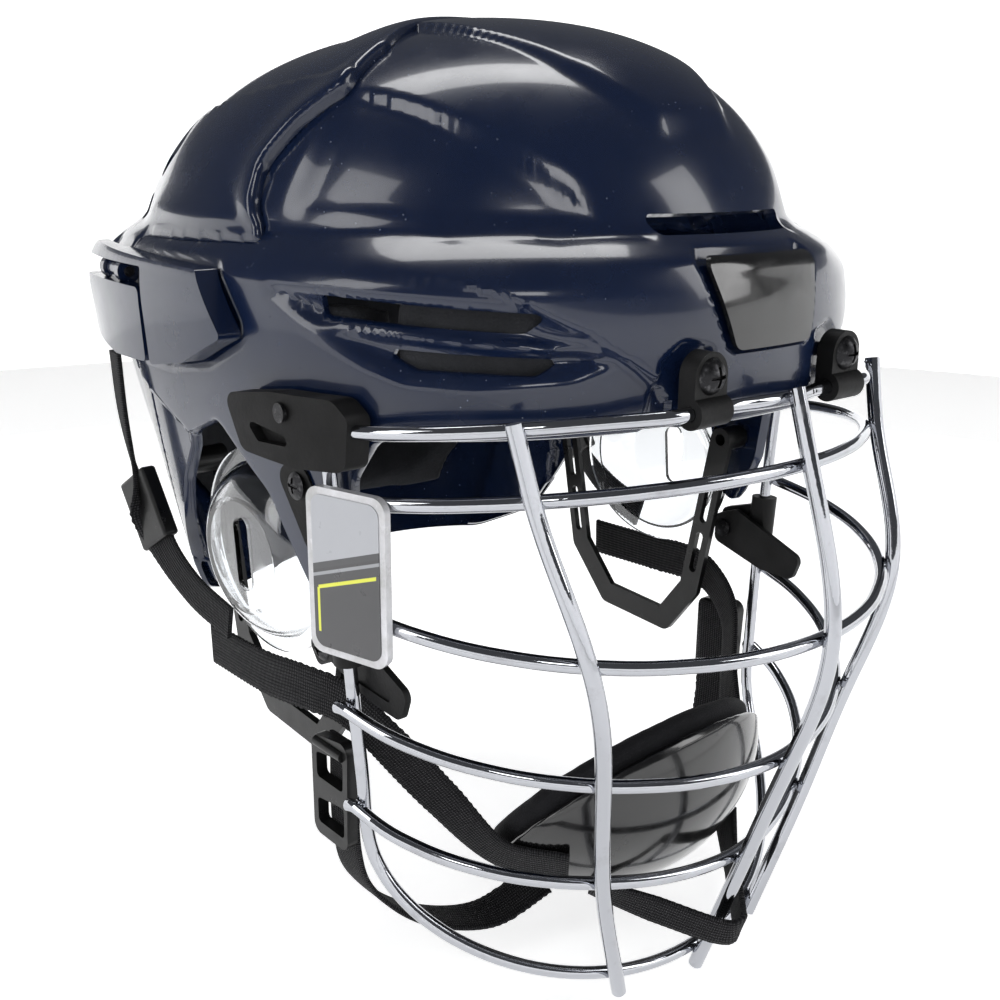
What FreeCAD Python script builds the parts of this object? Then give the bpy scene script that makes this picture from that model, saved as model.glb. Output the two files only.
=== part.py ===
import FreeCAD, Part
import math
import os

# A two-shell ice hockey helmet with a welded wire face cage, a chin cup and its straps.
# Millimetres. +Z is up, -Y is the wearer's forward direction, and X = 0 is the plane of symmetry, so the
# wearer's right side is -X. The origin is in the middle of the head, between the ears: 149.5 mm below the
# crown and 109.4 mm behind the cage's hinge line. Right-hand pieces are built first, and the left-hand ones
# are their mirror images.

V = FreeCAD.Vector
X_AXIS = V(1, 0, 0)
Y_AXIS = V(0, 1, 0)
Z_AXIS = V(0, 0, 1)

doc = FreeCAD.newDocument("HockeyHelmetCage")
sheet = doc.addObject("Spreadsheet::Sheet", "dims")

DIMENSIONS = [
    ("dome_half_width", 96.5), ("dome_front", 92.8), ("dome_back", 154.7), ("crown_height", 149.5),
    ("dome_base", 59.5), ("dome_power", 2.35), ("dome_lean", 9.5), ("widest_y", 21.0),
    ("band_half_width", 101.0), ("band_front", 107.0), ("band_back", 157.0), ("band_level", 75.0),
    ("shell_wall", 3.0), ("tongue_depth", 5.6), ("size_travel", 12.0),
    ("bar_wire", 3.8), ("upright_wire", 4.5), ("weld_overlap", 0.5),
    ("hinge_y", 109.4), ("hinge_z", 52.6), ("clip_x", 28.0), ("clip_width", 12.0), ("clip_bore", 1.98),
    ("clip_wall", 2.0), ("clip_screw_z", 61.5), ("clip_head", 4.65), ("screw_shank", 2.0),
    ("side_wire_y", 41.6), ("side_wire_x", 90.6), ("side_wire_flare", 0.08),
    ("pad_gap", 0.5), ("pad_depth", 12.0), ("web_width", 14.0), ("web_thick", 1.6),
    ("cup_across", 57.0), ("cup_deep", 46.0), ("cup_tall", 45.0), ("cup_wall", 2.6), ("cup_pad", 8.0),
    ("side_head", 4.0), ("rivet_head", 2.6), ("pin_radius", 1.5), ("clip_shank", 8.5), ("side_shank", 9.0),
]
for row, (alias, value) in enumerate(DIMENSIONS, 1):
    sheet.set("A%d" % row, alias)
    sheet.set("B%d" % row, str(value))
    sheet.setAlias("B%d" % row, alias)
doc.recompute()


def dim(alias):
    return float(sheet.get(alias))


nodes = []


def keep(obj, label):
    """Marks a document object as one physical piece and names its file."""
    obj.Label = label
    nodes.append(obj)
    return obj


def shape_piece(name, shape):
    obj = doc.addObject("Part::Feature", name)
    obj.Shape = shape
    obj.Placement = shape.Placement
    return obj


def mirrored(obj, label):
    twin = doc.addObject("Part::Mirroring", label + "_mirror")
    twin.Source = obj
    twin.Normal = X_AXIS
    twin.Base = V(0, 0, 0)
    return keep(twin, label)


def both_sides(obj, stem):
    """The right-hand piece and its mirror image on the wearer's left."""
    keep(obj, stem + "_right")
    mirrored(obj, stem + "_left")


# ---------------------------------------------------------------- shell surface

def ease(low, high, z):
    s = min(max((z - low) / (high - low), 0.0), 1.0)
    return s * s * (3.0 - 2.0 * s)


def mix(a, b, s):
    return a + (b - a) * s


SHOULDER_SIDE = (80.0, 94.0)
SHOULDER_FRONT = (87.0, 97.0)
SHOULDER_BACK = (76.0, 92.0)


def dome_slice(z, grow):
    """Half width, front, back and middle of the upper dome at a height, grown outward by grow."""
    crown = dim("crown_height") + grow
    rise = min(max((z - dim("dome_base")) / (crown - dim("dome_base")), 0.0), 0.9999)
    size = (1.0 - rise ** dim("dome_power")) ** (1.0 / dim("dome_power"))
    middle = dim("widest_y") - dim("dome_lean") * rise
    front = middle - (dim("dome_front") + dim("widest_y") + grow) * size
    back = middle + (dim("dome_back") - dim("widest_y") + grow) * size
    return (dim("dome_half_width") + grow) * size, front, back, middle


def band_slice(z, grow):
    """The same for the band round the head below the dome, which tucks in towards the neck."""
    drop = max(dim("band_level") - z, 0.0) / 87.0
    lift = max(z - 66.0, 0.0) / 25.0
    half = dim("band_half_width") - 8.0 * drop ** 1.4 + grow
    front = -dim("band_front") + 5.2 * lift ** 1.5 - grow
    back = dim("band_back") - 39.0 * drop ** 1.35 + grow
    return half, front, back, dim("widest_y")


def shell_slice(z, grow):
    dome = dome_slice(z, grow)
    band = band_slice(z, grow)
    side = ease(*SHOULDER_SIDE, z)
    half = mix(band[0], dome[0], side)
    front = mix(band[1], dome[1], ease(*SHOULDER_FRONT, z))
    back = mix(band[2], dome[2], ease(*SHOULDER_BACK, z))
    middle = mix(band[3], dome[3], side)
    return half, front, back, middle, mix(2.3, 2.0, side)


def slice_wire(z, grow):
    half, front, back, middle, power = shell_slice(z, grow)
    points = []
    steps = 24
    for i in range(steps):
        angle = 2.0 * math.pi * i / steps
        c, s = math.cos(angle), math.sin(angle)
        x = half * math.copysign(abs(c) ** (2.0 / power), c)
        reach = (back - middle) if s > 0 else (middle - front)
        y = middle + reach * math.copysign(abs(s) ** (2.0 / power), s)
        points.append(V(x, y, z))
    curve = Part.BSplineCurve()
    curve.interpolate(points, PeriodicFlag=True)
    return Part.Wire([curve.toShape()])


LOWER_LEVELS = [-22.0, -4.0, 14.0, 32.0, 50.0, 66.0, 78.0, 84.0, 88.0, 92.0, 97.0]
DOME_RISES = [0.50, 0.60, 0.70, 0.79, 0.87, 0.93, 0.97, 0.993]
offset_cache = {}


def shell_form(grow):
    """A closed solid bounded by the shell's outer surface moved outward by grow."""
    if grow not in offset_cache:
        top = dim("crown_height") + grow - dim("dome_base")
        levels = LOWER_LEVELS + [dim("dome_base") + top * r for r in DOME_RISES]
        offset_cache[grow] = Part.makeLoft([slice_wire(z, grow) for z in levels], True, False)
    return offset_cache[grow]


def surface_x(y, z, grow=0.0):
    """Outer half width of the shell at a place on its side."""
    half, front, back, middle, power = shell_slice(z, grow)
    reach = (back - middle) if y > middle else (middle - front)
    part = min(abs(y - middle) / reach, 1.0)
    return half * (1.0 - part ** power) ** (1.0 / power)


def layer(outer, inner, within):
    """The part of the space between two offsets of the shell surface that lies within a prism."""
    return shell_form(outer).common(within).cut(shell_form(inner))


# ---------------------------------------------------------------- outlines seen from the side

SIDE_REACH = 130.0


def corner_path(points, radius):
    """A closed outline: straight runs through (y, z) points with every corner rounded to radius where it fits."""
    count = len(points)
    edges = []
    cuts = []
    for i in range(count):
        before, here, after = points[i - 1], points[i], points[(i + 1) % count]
        a = (before - here)
        b = (after - here)
        half_turn = (math.pi - a.getAngle(b)) / 2.0
        reach = min(radius * math.tan(half_turn), 0.45 * min(a.Length, b.Length))
        start = here + a.normalize() * reach
        end = here + b.normalize() * reach
        bulge = (start + end) * 0.5 - here
        r = reach / math.tan(half_turn)
        depth = math.hypot(r, reach) - r
        middle = here + bulge.normalize() * depth
        cuts.append((start, middle, end))
    for i in range(count):
        start, middle, end = cuts[i]
        edges.append(Part.Arc(start, middle, end).toShape())
        edges.append(Part.LineSegment(end, cuts[(i + 1) % count][0]).toShape())
    return Part.Wire(edges)


def side_prism(points, radius, near=-SIDE_REACH, far=SIDE_REACH):
    """A prism along X whose outline is given as (y, z) corners."""
    wire = corner_path([V(near, y, z) for y, z in points], radius)
    return Part.Face(wire).extrude(V(far - near, 0, 0))


def front_prism(points, radius, near=-170.0, far=-60.0):
    """A prism along Y whose outline is given as (x, z) corners."""
    wire = corner_path([V(x, near, z) for x, z in points], radius)
    return Part.Face(wire).extrude(V(0, far - near, 0))


# The rim of the helmet: brow edge, cheek piece, ear arch and nape.
RIM = [(-140, 50), (-52, 43), (-44, 31), (-42, 8), (-34, -9), (-27, -8), (-13, 22), (8, 40), (28, 32),
       (44, 13), (56, -8), (68, -33), (84, -42), (175, -38), (175, 175), (-140, 175)]
# The front shell's edge under the rear shell, and the seam below it that the size latches cover.
SEAM = [(-150, -70), (62, -70), (62, 88), (-8, 89), (-14, 118), (8, 180), (-150, 180)]


def shifted(points, dy, dz):
    return [(y + dy, z + dz) for y, z in points]


helmet_rim = side_prism(RIM, 7.0)
wall = -dim("shell_wall")
tongue_top = -dim("tongue_depth")
tongue_low = tongue_top - 2.6


def vent_cutters():
    """Two long slots in each side scoop, the brow slot and the slots in the rear shell."""
    side_slots = [
        ([(-36, 79), (-34, 73), (-84, 72), (-86, 78)], 2.4),
        ([(-50, 66), (-50, 62), (-86, 60.5), (-86, 65.5)], 1.9),
    ]
    rear_slots = [
        ([(70, 122), (64, 114), (74, 102), (80, 110)], 3.0),
        ([(76, 99), (84, 97), (84, 91), (76, 91)], 2.5),
    ]
    cutters = [side_prism(points, radius) for points, radius in side_slots + rear_slots]
    brow = front_prism([(-27, 98.5), (27, 98.5), (27, 93.5), (-27, 93.5)], 2.0)
    return cutters + [brow]


def slot_side_only(cutter):
    """Keeps a side slot from reaching across the brow."""
    middle = Part.makeBox(60, 400, 400, V(-30, -200, -100))
    return cutter.cut(middle)


vents = vent_cutters()
vents = [slot_side_only(v) for v in vents[:4]] + [vents[4]]


def front_shell():
    """Main wall, and the tongue that steps in along the seam and runs on under the rear shell."""
    reach = dim("size_travel") + 14.0
    main = side_prism(SEAM, 3.0)
    main_less_joggle = side_prism(shifted(SEAM, -7.0, -7.0), 3.0)
    under = side_prism(shifted(SEAM, reach, 11.0), 3.0)
    whole = shell_form(0.0).common(main).fuse(shell_form(tongue_top).common(under))
    whole = whole.cut(shell_form(tongue_low)).cut(shell_form(wall).common(main_less_joggle))
    screws = [clip_screw_hole(side) for side in (-1, 1)]
    screws += [side_screw_hole(place, side) for place in SIDE_SCREWS for side in (-1, 1)]
    return whole.common(helmet_rim).cut(vents[:2] + [vents[4]]).cut(screws)


def rear_shell():
    front = side_prism(shifted(SEAM, 0.6, 0.6), 3.0)
    return layer(0.0, wall, helmet_rim).cut(front).cut(vents[2:4])


# ---------------------------------------------------------------- screws through the shell

SIDE_SCREWS = [(-26.0, 27.5), (-31.0, 15.0)]


def clip_screw_hole(side):
    return Part.makeCylinder(dim("screw_shank") + 0.1, 30, V(side * dim("clip_x"), -120, dim("clip_screw_z")),
                             Y_AXIS)


def side_screw_hole(place, side):
    y, z = place
    return Part.makeCylinder(dim("screw_shank") + 0.1, 40, V(side * 75, y, z), X_AXIS * side)


def button_screw(base, direction, head_radius, shank_radius, shank_length, head_height):
    """A domed cross-recess screw: base is where the head seats, direction points out of the work."""
    ball = (head_radius ** 2 + head_height ** 2) / (2.0 * head_height)
    centre = base + direction * (head_height - ball)
    dome = Part.makeSphere(ball, centre)
    keep_box = Part.makeCylinder(head_radius, head_height, base, direction)
    head = dome.common(keep_box)
    shank = Part.makeCylinder(shank_radius, shank_length, base - direction * shank_length, direction)
    cut_depth = head_height * 0.6
    top = base + direction * (head_height - cut_depth)
    side = direction.cross(Z_AXIS).normalize()
    arms = []
    for axis in (side, Z_AXIS):
        other = direction.cross(axis)
        corner = top - axis * head_radius * 0.55 - other * 0.5
        arm = Part.makeBox(head_radius * 1.1, 1.0, cut_depth + 1.0)
        arm.Placement = FreeCAD.Placement(corner, FreeCAD.Rotation(axis, other, direction, "XYZ"))
        arms.append(arm)
    return head.cut(arms).fuse(shank).removeSplitter()


# ---------------------------------------------------------------- wires of the cage

def smooth_wire(points):
    """An open path: straight runs joined by tangent arcs as large as the runs allow."""
    edges = []
    last = points[0]
    for i in range(1, len(points) - 1):
        before, here, after = points[i - 1], points[i], points[i + 1]
        a = before - here
        b = after - here
        half_turn = (math.pi - a.getAngle(b)) / 2.0
        reach = 0.45 * min(a.Length, b.Length)
        start = here + a.normalize() * reach
        end = here + b.normalize() * reach
        r = reach / math.tan(half_turn)
        bulge = (start + end) * 0.5 - here
        middle = here + bulge.normalize() * (math.hypot(r, reach) - r)
        edges.append(Part.LineSegment(last, start).toShape())
        edges.append(Part.Arc(start, middle, end).toShape())
        last = end
    edges.append(Part.LineSegment(last, points[-1]).toShape())
    return Part.Wire(edges)


def wire_rod(name, points, diameter_cell):
    """A round wire swept along a path; its section is bound to the sheet."""
    path = doc.addObject("Part::Feature", name + "_path")
    path.Shape = smooth_wire(points)
    ring = doc.addObject("Part::Circle", name + "_section")
    ring.setExpression("Radius", "dims.%s / 2" % diameter_cell)
    ring.Placement = FreeCAD.Placement(points[0], FreeCAD.Rotation(Z_AXIS, points[1] - points[0]))
    rod = doc.addObject("Part::Sweep", name)
    rod.Sections = [ring]
    rod.Spine = (path, ["Edge%d" % (i + 1) for i in range(len(path.Shape.Edges))])
    rod.Solid = True
    rod.Frenet = False
    return rod


def along(points, spacing):
    """Evenly spaced points on the smooth curve through a few chosen ones."""
    curve = Part.BSplineCurve()
    curve.interpolate(points)
    edge = curve.toShape()
    count = max(int(round(edge.Length / spacing)), 4)
    return edge.discretize(count + 1)


def side_wire_x(z):
    return dim("side_wire_x") + dim("side_wire_flare") * z


# Each cross bar: name, power of its superellipse, reach of its front, height at Y = 0 and lean.
CROSS_BARS = [
    ("eye_bar_upper", 1.87, 118.1, 23.1, -0.108),
    ("eye_bar_lower", 2.00, 128.9, 4.1, 0.100),
    ("mouth_bar_upper", 1.82, 118.4, -24.4, 0.202),
    ("mouth_bar_lower", 1.77, 105.8, -49.9, 0.329),
]
BROW_BAR = ("brow_bar", 2.05, 111.6, 40.8, -0.108)
BROW_HALF = 93.5
BAR_TAIL = 3.0


def bar_half(bar):
    """Where a cross bar meets the side wire, on its outer face."""
    if bar is BROW_BAR:
        return BROW_HALF
    level = bar[3] - bar[4] * dim("side_wire_y")
    return side_wire_x(level) + dim("bar_wire") - dim("weld_overlap")


def bar_point(bar, x):
    """A point on a cross bar: half a superellipse in a plane that leans fore and aft."""
    name, power, front, level, lean = bar
    side = dim("side_wire_y")
    part = min(abs(x) / bar_half(bar), 1.0)
    y = -side - (front - side) * (1.0 - part ** power) ** (1.0 / power)
    return V(x, y, level + lean * y)


def cross_bar_path(bar):
    half = bar_half(bar)
    end = bar_point(bar, half)
    tail = V(half, end.y + BAR_TAIL, end.z - bar[4] * BAR_TAIL)
    degrees = [14, 28, 42, 56, 70, 80]
    right = [bar_point(bar, half * math.cos(math.radians(d))) for d in degrees]
    right = [tail, end] + right
    left = [V(-p.x, p.y, p.z) for p in reversed(right)]
    return right + [bar_point(bar, 0.0)] + left


def brow_bar_path():
    """The brow bar is formed straight where it turns in its two clips."""
    slope = BROW_BAR[4]

    def at(x, y):
        return V(x, y, dim("hinge_z") + slope * (y + dim("hinge_y")))

    outer = [at(BROW_HALF, -38.5), at(BROW_HALF, -dim("side_wire_y"))]
    outer += [bar_point(BROW_BAR, x) for x in (92.0, 88.5, 83.0, 75.5, 66.0, 55.5)]
    outer = [at(p.x, p.y) for p in outer]
    clip_run = [at(47.0, -104.6), at(39.5, -dim("hinge_y")), at(16.0, -dim("hinge_y")), at(6.0, -112.6)]
    right = outer + clip_run
    left = [V(-p.x, p.y, p.z) for p in reversed(right)]
    return right + left


RIM_HALF = 85.8
RIM_DEPTH = 62.7
RIM_TOP = -60.0


def rim_point(angle, side=1.0):
    """The chin rim: it leaves the side wire straight down and sweeps forward under the chin."""
    x = RIM_HALF * math.cos(angle) ** 0.976
    drop = RIM_DEPTH * math.sin(angle) ** 0.645
    y = -43.3 + 0.337 * drop - 0.0179 * drop ** 2
    return V(side * x, y, RIM_TOP - drop)


def rim_at_x(x):
    return rim_point(math.acos((abs(x) / RIM_HALF) ** (1.0 / 0.976)), math.copysign(1.0, x))


def side_frame_path():
    side = [V(side_wire_x(z), -dim("side_wire_y"), z) for z in (42.0, 20.0, 0.0, -20.0, -40.0)]
    side += [rim_point(math.radians(d)) for d in (1, 6, 16, 28, 42, 57, 73)]
    other = [V(-p.x, p.y, p.z) for p in reversed(side)]
    return along(side + [rim_point(math.pi / 2.0)] + other, 11.0)


UPRIGHT_X = [71.0, 69.0, 62.5, 52.2, 44.0]
UPRIGHT_FOOT_X = 30.4


def upright_path(side):
    """An upright lies on the outside of every bar; side is -1, 0 or 1."""
    bars = [BROW_BAR] + CROSS_BARS
    if side == 0:
        seats = [V(0, -112.6, dim("hinge_z") + 0.35)] + [bar_point(b, 0.0) for b in CROSS_BARS]
        seats.append(rim_point(math.pi / 2.0))
        tangents = [X_AXIS] * len(seats)
    else:
        seats = [bar_point(b, side * x) for b, x in zip(bars, UPRIGHT_X)]
        nexts = [bar_point(b, side * (x - 0.5)) for b, x in zip(bars, UPRIGHT_X)]
        seats.append(rim_at_x(side * UPRIGHT_FOOT_X))
        nexts.append(rim_at_x(side * (UPRIGHT_FOOT_X - 0.5)))
        tangents = [(n - s) * -side for s, n in zip(seats, nexts)]
    reach = (dim("bar_wire") + dim("upright_wire")) / 2.0 - dim("weld_overlap")
    points = []
    for i, seat in enumerate(seats):
        down = seats[min(i + 1, len(seats) - 1)] - seats[max(i - 1, 0)]
        out = tangents[i].cross(down).normalize()
        if out.y > 0:
            out = -out
        points.append(seat + out * reach)
    top = points[0] + (points[0] - points[1]).normalize() * 2.0
    foot = points[-1] + (points[-1] - points[-2]).normalize() * 4.5
    return along([top] + points + [foot], 9.0)


def build_cage_wires():
    keep(wire_rod("brow_bar", brow_bar_path(), "bar_wire"), "brow_bar")
    for bar in CROSS_BARS:
        keep(wire_rod(bar[0], cross_bar_path(bar), "bar_wire"), bar[0])
    keep(wire_rod("side_frame", side_frame_path(), "bar_wire"), "side_frame")
    for side, word in ((-1, "right"), (0, "centre"), (1, "left")):
        keep(wire_rod("upright_" + word, upright_path(side), "upright_wire"), "upright_" + word)


# ---------------------------------------------------------------- fittings on the cage

def side_bumper():
    """The rubber-edged block over the corner where the brow bar and the side wire end."""
    outline = [(-11, 52), (-30, 54.5), (-49, 54.5), (-53, 50), (-51, 36), (-36, 35), (-16, 37)]
    block = layer(7.8, 1.6, side_prism(outline, 3.5, -SIDE_REACH, 0.0))
    recess = [(-19, 46), (-33, 43.5), (-34, 40.5), (-23, 40.5)]
    pocket = side_prism(recess, 1.2, -SIDE_REACH, 0.0).cut(shell_form(5.0))
    hole = Part.makeCylinder(1.1, 40, V(-120, RIVET_PLACE[0], RIVET_PLACE[1]), X_AXIS)
    return block.cut([pocket, hole]).removeSplitter()


RIVET_PLACE = (-33.0, 49.5)


def bumper_rivets():
    """A rivet through each side bumper, as one group."""
    y, z = RIVET_PLACE
    outer = surface_x(y, z, 7.8)
    group = []
    for side in (-1, 1):
        out = X_AXIS * side
        head = Part.makeCylinder(dim("rivet_head"), 1.0, V(side * outer, y, z), out)
        shank = Part.makeCylinder(1.05, 6.0, V(side * (outer - 6.0), y, z), out)
        group.append(head.fuse(shank).removeSplitter())
    return Part.makeCompound(group)


def label_plate():
    """A blank plate fixed across the ends of the two eye bars, on the wearer's right only."""
    plate = corner_path([V(0, 0, 0), V(26, 0, 0), V(26, 0, -45), V(0, 0, -45)], 4.0)
    solid = Part.Face(plate).extrude(V(0, 2.2, 0))
    heading = math.degrees(math.atan2(-25.0, 6.5))
    solid.Placement = FreeCAD.Placement(V(-100.6, -41.5, 32.5), FreeCAD.Rotation(Z_AXIS, heading))
    return solid


SNAP_Y = -29.0
SNAP_Z = -19.5


def snap_loop():
    """A rubber sleeve round the side wire with a tail that carries the snap stud."""
    foot = V(-side_wire_x(SNAP_Z), -dim("side_wire_y"), SNAP_Z)
    lean = V(-dim("side_wire_flare"), 0, 1)
    sleeve = Part.makeCylinder(4.4, 13.5, foot, lean)
    bore = Part.makeCylinder(dim("bar_wire") / 2.0 + 0.02, 40, foot - lean * 10, lean)
    outline = [(-40, -8.5), (-26, -13), (-23, -20), (-27, -25.5), (-40, -19)]
    tail = side_prism(outline, 2.5, -89.8, -87.2)
    stud = Part.makeCylinder(2.0, 20, V(-100, SNAP_Y, SNAP_Z), X_AXIS)
    tab_side = Part.makeBox(10, 40, 60, V(-86.2, -60, -40))
    return sleeve.fuse(tail).cut([bore, stud, tab_side]).removeSplitter()


def snap_tab():
    """The moulded tab behind the loop; it turns on the snap stud."""
    outline = [(-25, -15), (-34, -11.5), (-63, -23), (-60, -31.5), (-46, -31), (-25, -25)]
    plate = side_prism(outline, 3.0, -85.7, -83.7)
    panel = [(-34, -16), (-56, -25), (-55, -28), (-37, -27)]
    recess = side_prism(panel, 1.5, -90.0, -85.0)
    bore = Part.makeCylinder(2.05, 20, V(-95, SNAP_Y, SNAP_Z), X_AXIS)
    return plate.cut([recess, bore]).removeSplitter()


def snap_studs():
    """The two-headed press studs through each loop and tab, as one group."""
    group = []
    for side in (-1, 1):
        out = X_AXIS * side
        shank = Part.makeCylinder(1.99, 6.5, V(side * 83.5, SNAP_Y, SNAP_Z), out)
        inner = Part.makeCylinder(3.2, 0.9, V(side * 82.7, SNAP_Y, SNAP_Z), out)
        cap = button_screw(V(side * 89.9, SNAP_Y, SNAP_Z), out, 3.6, 1.0, 1.0, 1.6)
        group.append(shank.fuse([inner, cap]).removeSplitter())
    return Part.makeCompound(group)


# ---------------------------------------------------------------- J-clips

def jclip(side):
    """A P-shaped clip: a ring round the brow bar and a leg that is screwed to the brow."""
    x0 = side * dim("clip_x") - dim("clip_width") / 2.0
    width = dim("clip_width")
    y, z = -dim("hinge_y"), dim("hinge_z")
    outer = dim("clip_bore") + dim("clip_wall")
    back = y + outer - 0.2
    front = back - 5.2
    ring = Part.makeCylinder(outer, width, V(x0, y, z), X_AXIS)
    leg = Part.makeBox(width, back - front, dim("clip_screw_z") - z, V(x0, front, z))
    head = Part.makeCylinder(width / 2.0, back - front, V(side * dim("clip_x"), front, dim("clip_screw_z")),
                             Y_AXIS)
    bore = Part.makeCylinder(dim("clip_bore"), width + 4, V(x0 - 2, y, z), X_AXIS)
    return ring.fuse([leg, head]).cut([bore, clip_screw_hole(side)]).removeSplitter()


def clip_screws():
    front = -dim("hinge_y") + dim("clip_bore") + dim("clip_wall") - 5.4
    group = [button_screw(V(side * dim("clip_x"), front - 0.05, dim("clip_screw_z")), -Y_AXIS,
                          dim("clip_head"), dim("screw_shank"), dim("clip_shank"), 2.8) for side in (-1, 1)]
    return Part.makeCompound(group)


# ---------------------------------------------------------------- fittings on the shell

def slot_plate():
    """The slotted plate in which the two side screws are clamped."""
    (y1, z1), (y2, z2) = SIDE_SCREWS
    lean = (V(0, y2, z2) - V(0, y1, z1)).normalize()
    across = V(0, -lean.z, lean.y)
    top = V(0, y1, z1) - lean * 6.2
    low = V(0, y2, z2) + lean * 6.2
    corners = [top + across * 5.6, low + across * 5.6, low - across * 5.6, top - across * 5.6]
    plate = layer(0.8, 0.2, side_prism([(p.y, p.z) for p in corners], 5.0, -SIDE_REACH, 0.0))
    return plate.cut([side_screw_hole(p, -1) for p in SIDE_SCREWS]).removeSplitter()


def side_screws():
    group = []
    for side in (-1, 1):
        for y, z in SIDE_SCREWS:
            seat = surface_x(y, z, 1.1)
            group.append(button_screw(V(side * seat, y, z), X_AXIS * side, dim("side_head"),
                                      dim("screw_shank"), dim("side_shank"), 1.1))
    return Part.makeCompound(group)


def brow_plate():
    """A plain inlay on the brow in place of a badge."""
    outline = [(-22, 89), (22, 89), (15, 66), (-15, 66)]
    return layer(1.6, 0.2, front_prism(outline, 3.0))


LATCH_AXIS_FORE = V(-105.4, 34.0, 78.5)
LATCH_AXIS_AFT = V(-98.2, 82.0, 78.5)
LATCH_BARREL = 2.4


def latch_axis():
    return (LATCH_AXIS_AFT - LATCH_AXIS_FORE).normalize()


def latch_round(radius, length, shift=0.0):
    """A cylinder on the latch's hinge line, centred on its middle plus a shift along it."""
    middle = (LATCH_AXIS_FORE + LATCH_AXIS_AFT) * 0.5
    return Part.makeCylinder(radius, length, middle + latch_axis() * (shift - length / 2.0), latch_axis())


def rear_shell_travel():
    """What the rear shell's side sweeps as it slides back, with a little room to spare."""
    behind_seam = Part.makeBox(60, 60, 60, V(-SIDE_REACH, 60, 40))
    slid = shell_form(0.5).translated(V(0, dim("size_travel"), 0))
    return slid.common(behind_seam)


def latch_base():
    """The fixed facet of the size latch and the strip with two lugs above the flap."""
    outline = [(84, 85.5), (0, 83), (-11, 66), (10, 57), (31, 53.5), (31, 81.5), (84, 81.5)]
    body = layer(7.0, 0.45, side_prism(outline, 1.6, -SIDE_REACH, 0.0))
    lugs = [latch_round(LATCH_BARREL + 1.0, 4.0, s).cut(shell_form(0.45)) for s in (-8.0, 8.0)]
    return body.fuse(lugs).cut([latch_round(dim("pin_radius"), 30.0), rear_shell_travel()]).removeSplitter()


def latch_flap():
    outline = [(33, 75.5), (34, 54), (60, 53), (88, 56), (86, 75.5)]
    plate = layer(7.0, 1.3, side_prism(outline, 2.0, -SIDE_REACH, 0.0)).cut(rear_shell_travel())
    barrel = latch_round(LATCH_BARREL, 11.0)
    middle = (LATCH_AXIS_FORE + LATCH_AXIS_AFT) * 0.5
    neck = Part.makeBox(3.2, 11.0, 6.0)
    neck.Placement = FreeCAD.Placement(middle - latch_axis() * 5.5 + V(-1.6, 0, -6.5),
                                       FreeCAD.Rotation(Y_AXIS, latch_axis()))
    room = [latch_round(LATCH_BARREL + 1.5, 4.8, s) for s in (-8.0, 8.0)]
    bore = latch_round(dim("pin_radius") + 0.06, 30.0)
    return plate.fuse([barrel, neck]).cut(room + [bore]).removeSplitter()


def ear_guard():
    """A clear bowl in the ear opening with a flat rim inside the shell and one sound slot."""
    def ring(x, across, tall):
        ellipse = Part.Ellipse(V(0, 0, 0), across, tall)
        wire = Part.Wire([ellipse.toShape()])
        wire.Placement = FreeCAD.Placement(V(x, 7, -1), FreeCAD.Rotation(V(0, 1, 0), V(0, 0, 1), X_AXIS, "XYZ"))
        return wire
    outside = Part.makeLoft([ring(-84.0, 31.0, 27.5), ring(-90.0, 27.0, 24.0), ring(-94.5, 20.0, 17.5)], True)
    inside = Part.makeLoft([ring(-83.9, 29.4, 25.9), ring(-89.2, 25.4, 22.4), ring(-93.0, 18.6, 16.1)], True)
    rim = Part.Face(ring(-84.0, 35.0, 31.0)).extrude(V(-1.6, 0, 0))
    rim = rim.cut(Part.Face(ring(-80.0, 29.5, 26.0)).extrude(V(-12, 0, 0)))
    slot = side_prism([(2, 12), (10, 10), (8, -12), (0, -10)], 3.5, -100, -88)
    return outside.cut(inside).fuse(rim).cut(slot).removeSplitter()


def flat_bar_shape(points, width, near, far):
    """A flat strap of plastic through (y, z) points, with round joints."""
    pieces = []
    for (y1, z1), (y2, z2) in zip(points, points[1:]):
        a, b = V(near, y1, z1), V(near, y2, z2)
        run = (b - a).normalize()
        across = V(0, -run.z, run.y) * (width / 2.0)
        ring = Part.makePolygon([a + across, b + across, b - across, a - across, a + across])
        pieces.append(Part.Face(ring).extrude(V(far - near, 0, 0)))
    for y, z in points:
        pieces.append(Part.makeCylinder(width / 2.0, far - near, V(near, y, z), X_AXIS))
    return pieces[0].fuse(pieces[1:]).removeSplitter()


# The lower side screw holds the loop's front end as well.
LOOP_PATH = [SIDE_SCREWS[1], (-20, -44), (-8, -60), (22, -58), (38, -40), (49, 18)]


def ear_loop():
    """The V-shaped plastic loop round the ear, slotted for webbing."""
    strap = flat_bar_shape(LOOP_PATH, 8.5, -78.4, -76.2)
    slots = []
    for (y1, z1), (y2, z2), low, high in ((LOOP_PATH[0], LOOP_PATH[1], 0.30, 0.52),
                                          (LOOP_PATH[0], LOOP_PATH[1], 0.64, 0.86),
                                          (LOOP_PATH[4], LOOP_PATH[5], 0.10, 0.36),
                                          (LOOP_PATH[4], LOOP_PATH[5], 0.48, 0.74)):
        ends = [(mix(y1, y2, t), mix(z1, z2, t)) for t in (low, high)]
        slots.append(flat_bar_shape(ends, 3.2, -80.0, -75.0))
    bosses = [Part.makeCylinder(4.2, length, V(-78.0 - length, y, z), X_AXIS)
              for (y, z), length in ((LOOP_PATH[0], 8.2), (LOOP_PATH[-1], 12.2))]
    return strap.cut(slots).fuse(bosses).cut(side_screw_hole(LOOP_PATH[0], -1)).removeSplitter()


# ---------------------------------------------------------------- padding

def pad(depth_out, depth_in, outline, radius, near=-SIDE_REACH, far=SIDE_REACH):
    return layer(-depth_out, -depth_in, side_prism(outline, radius, near, far))


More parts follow.
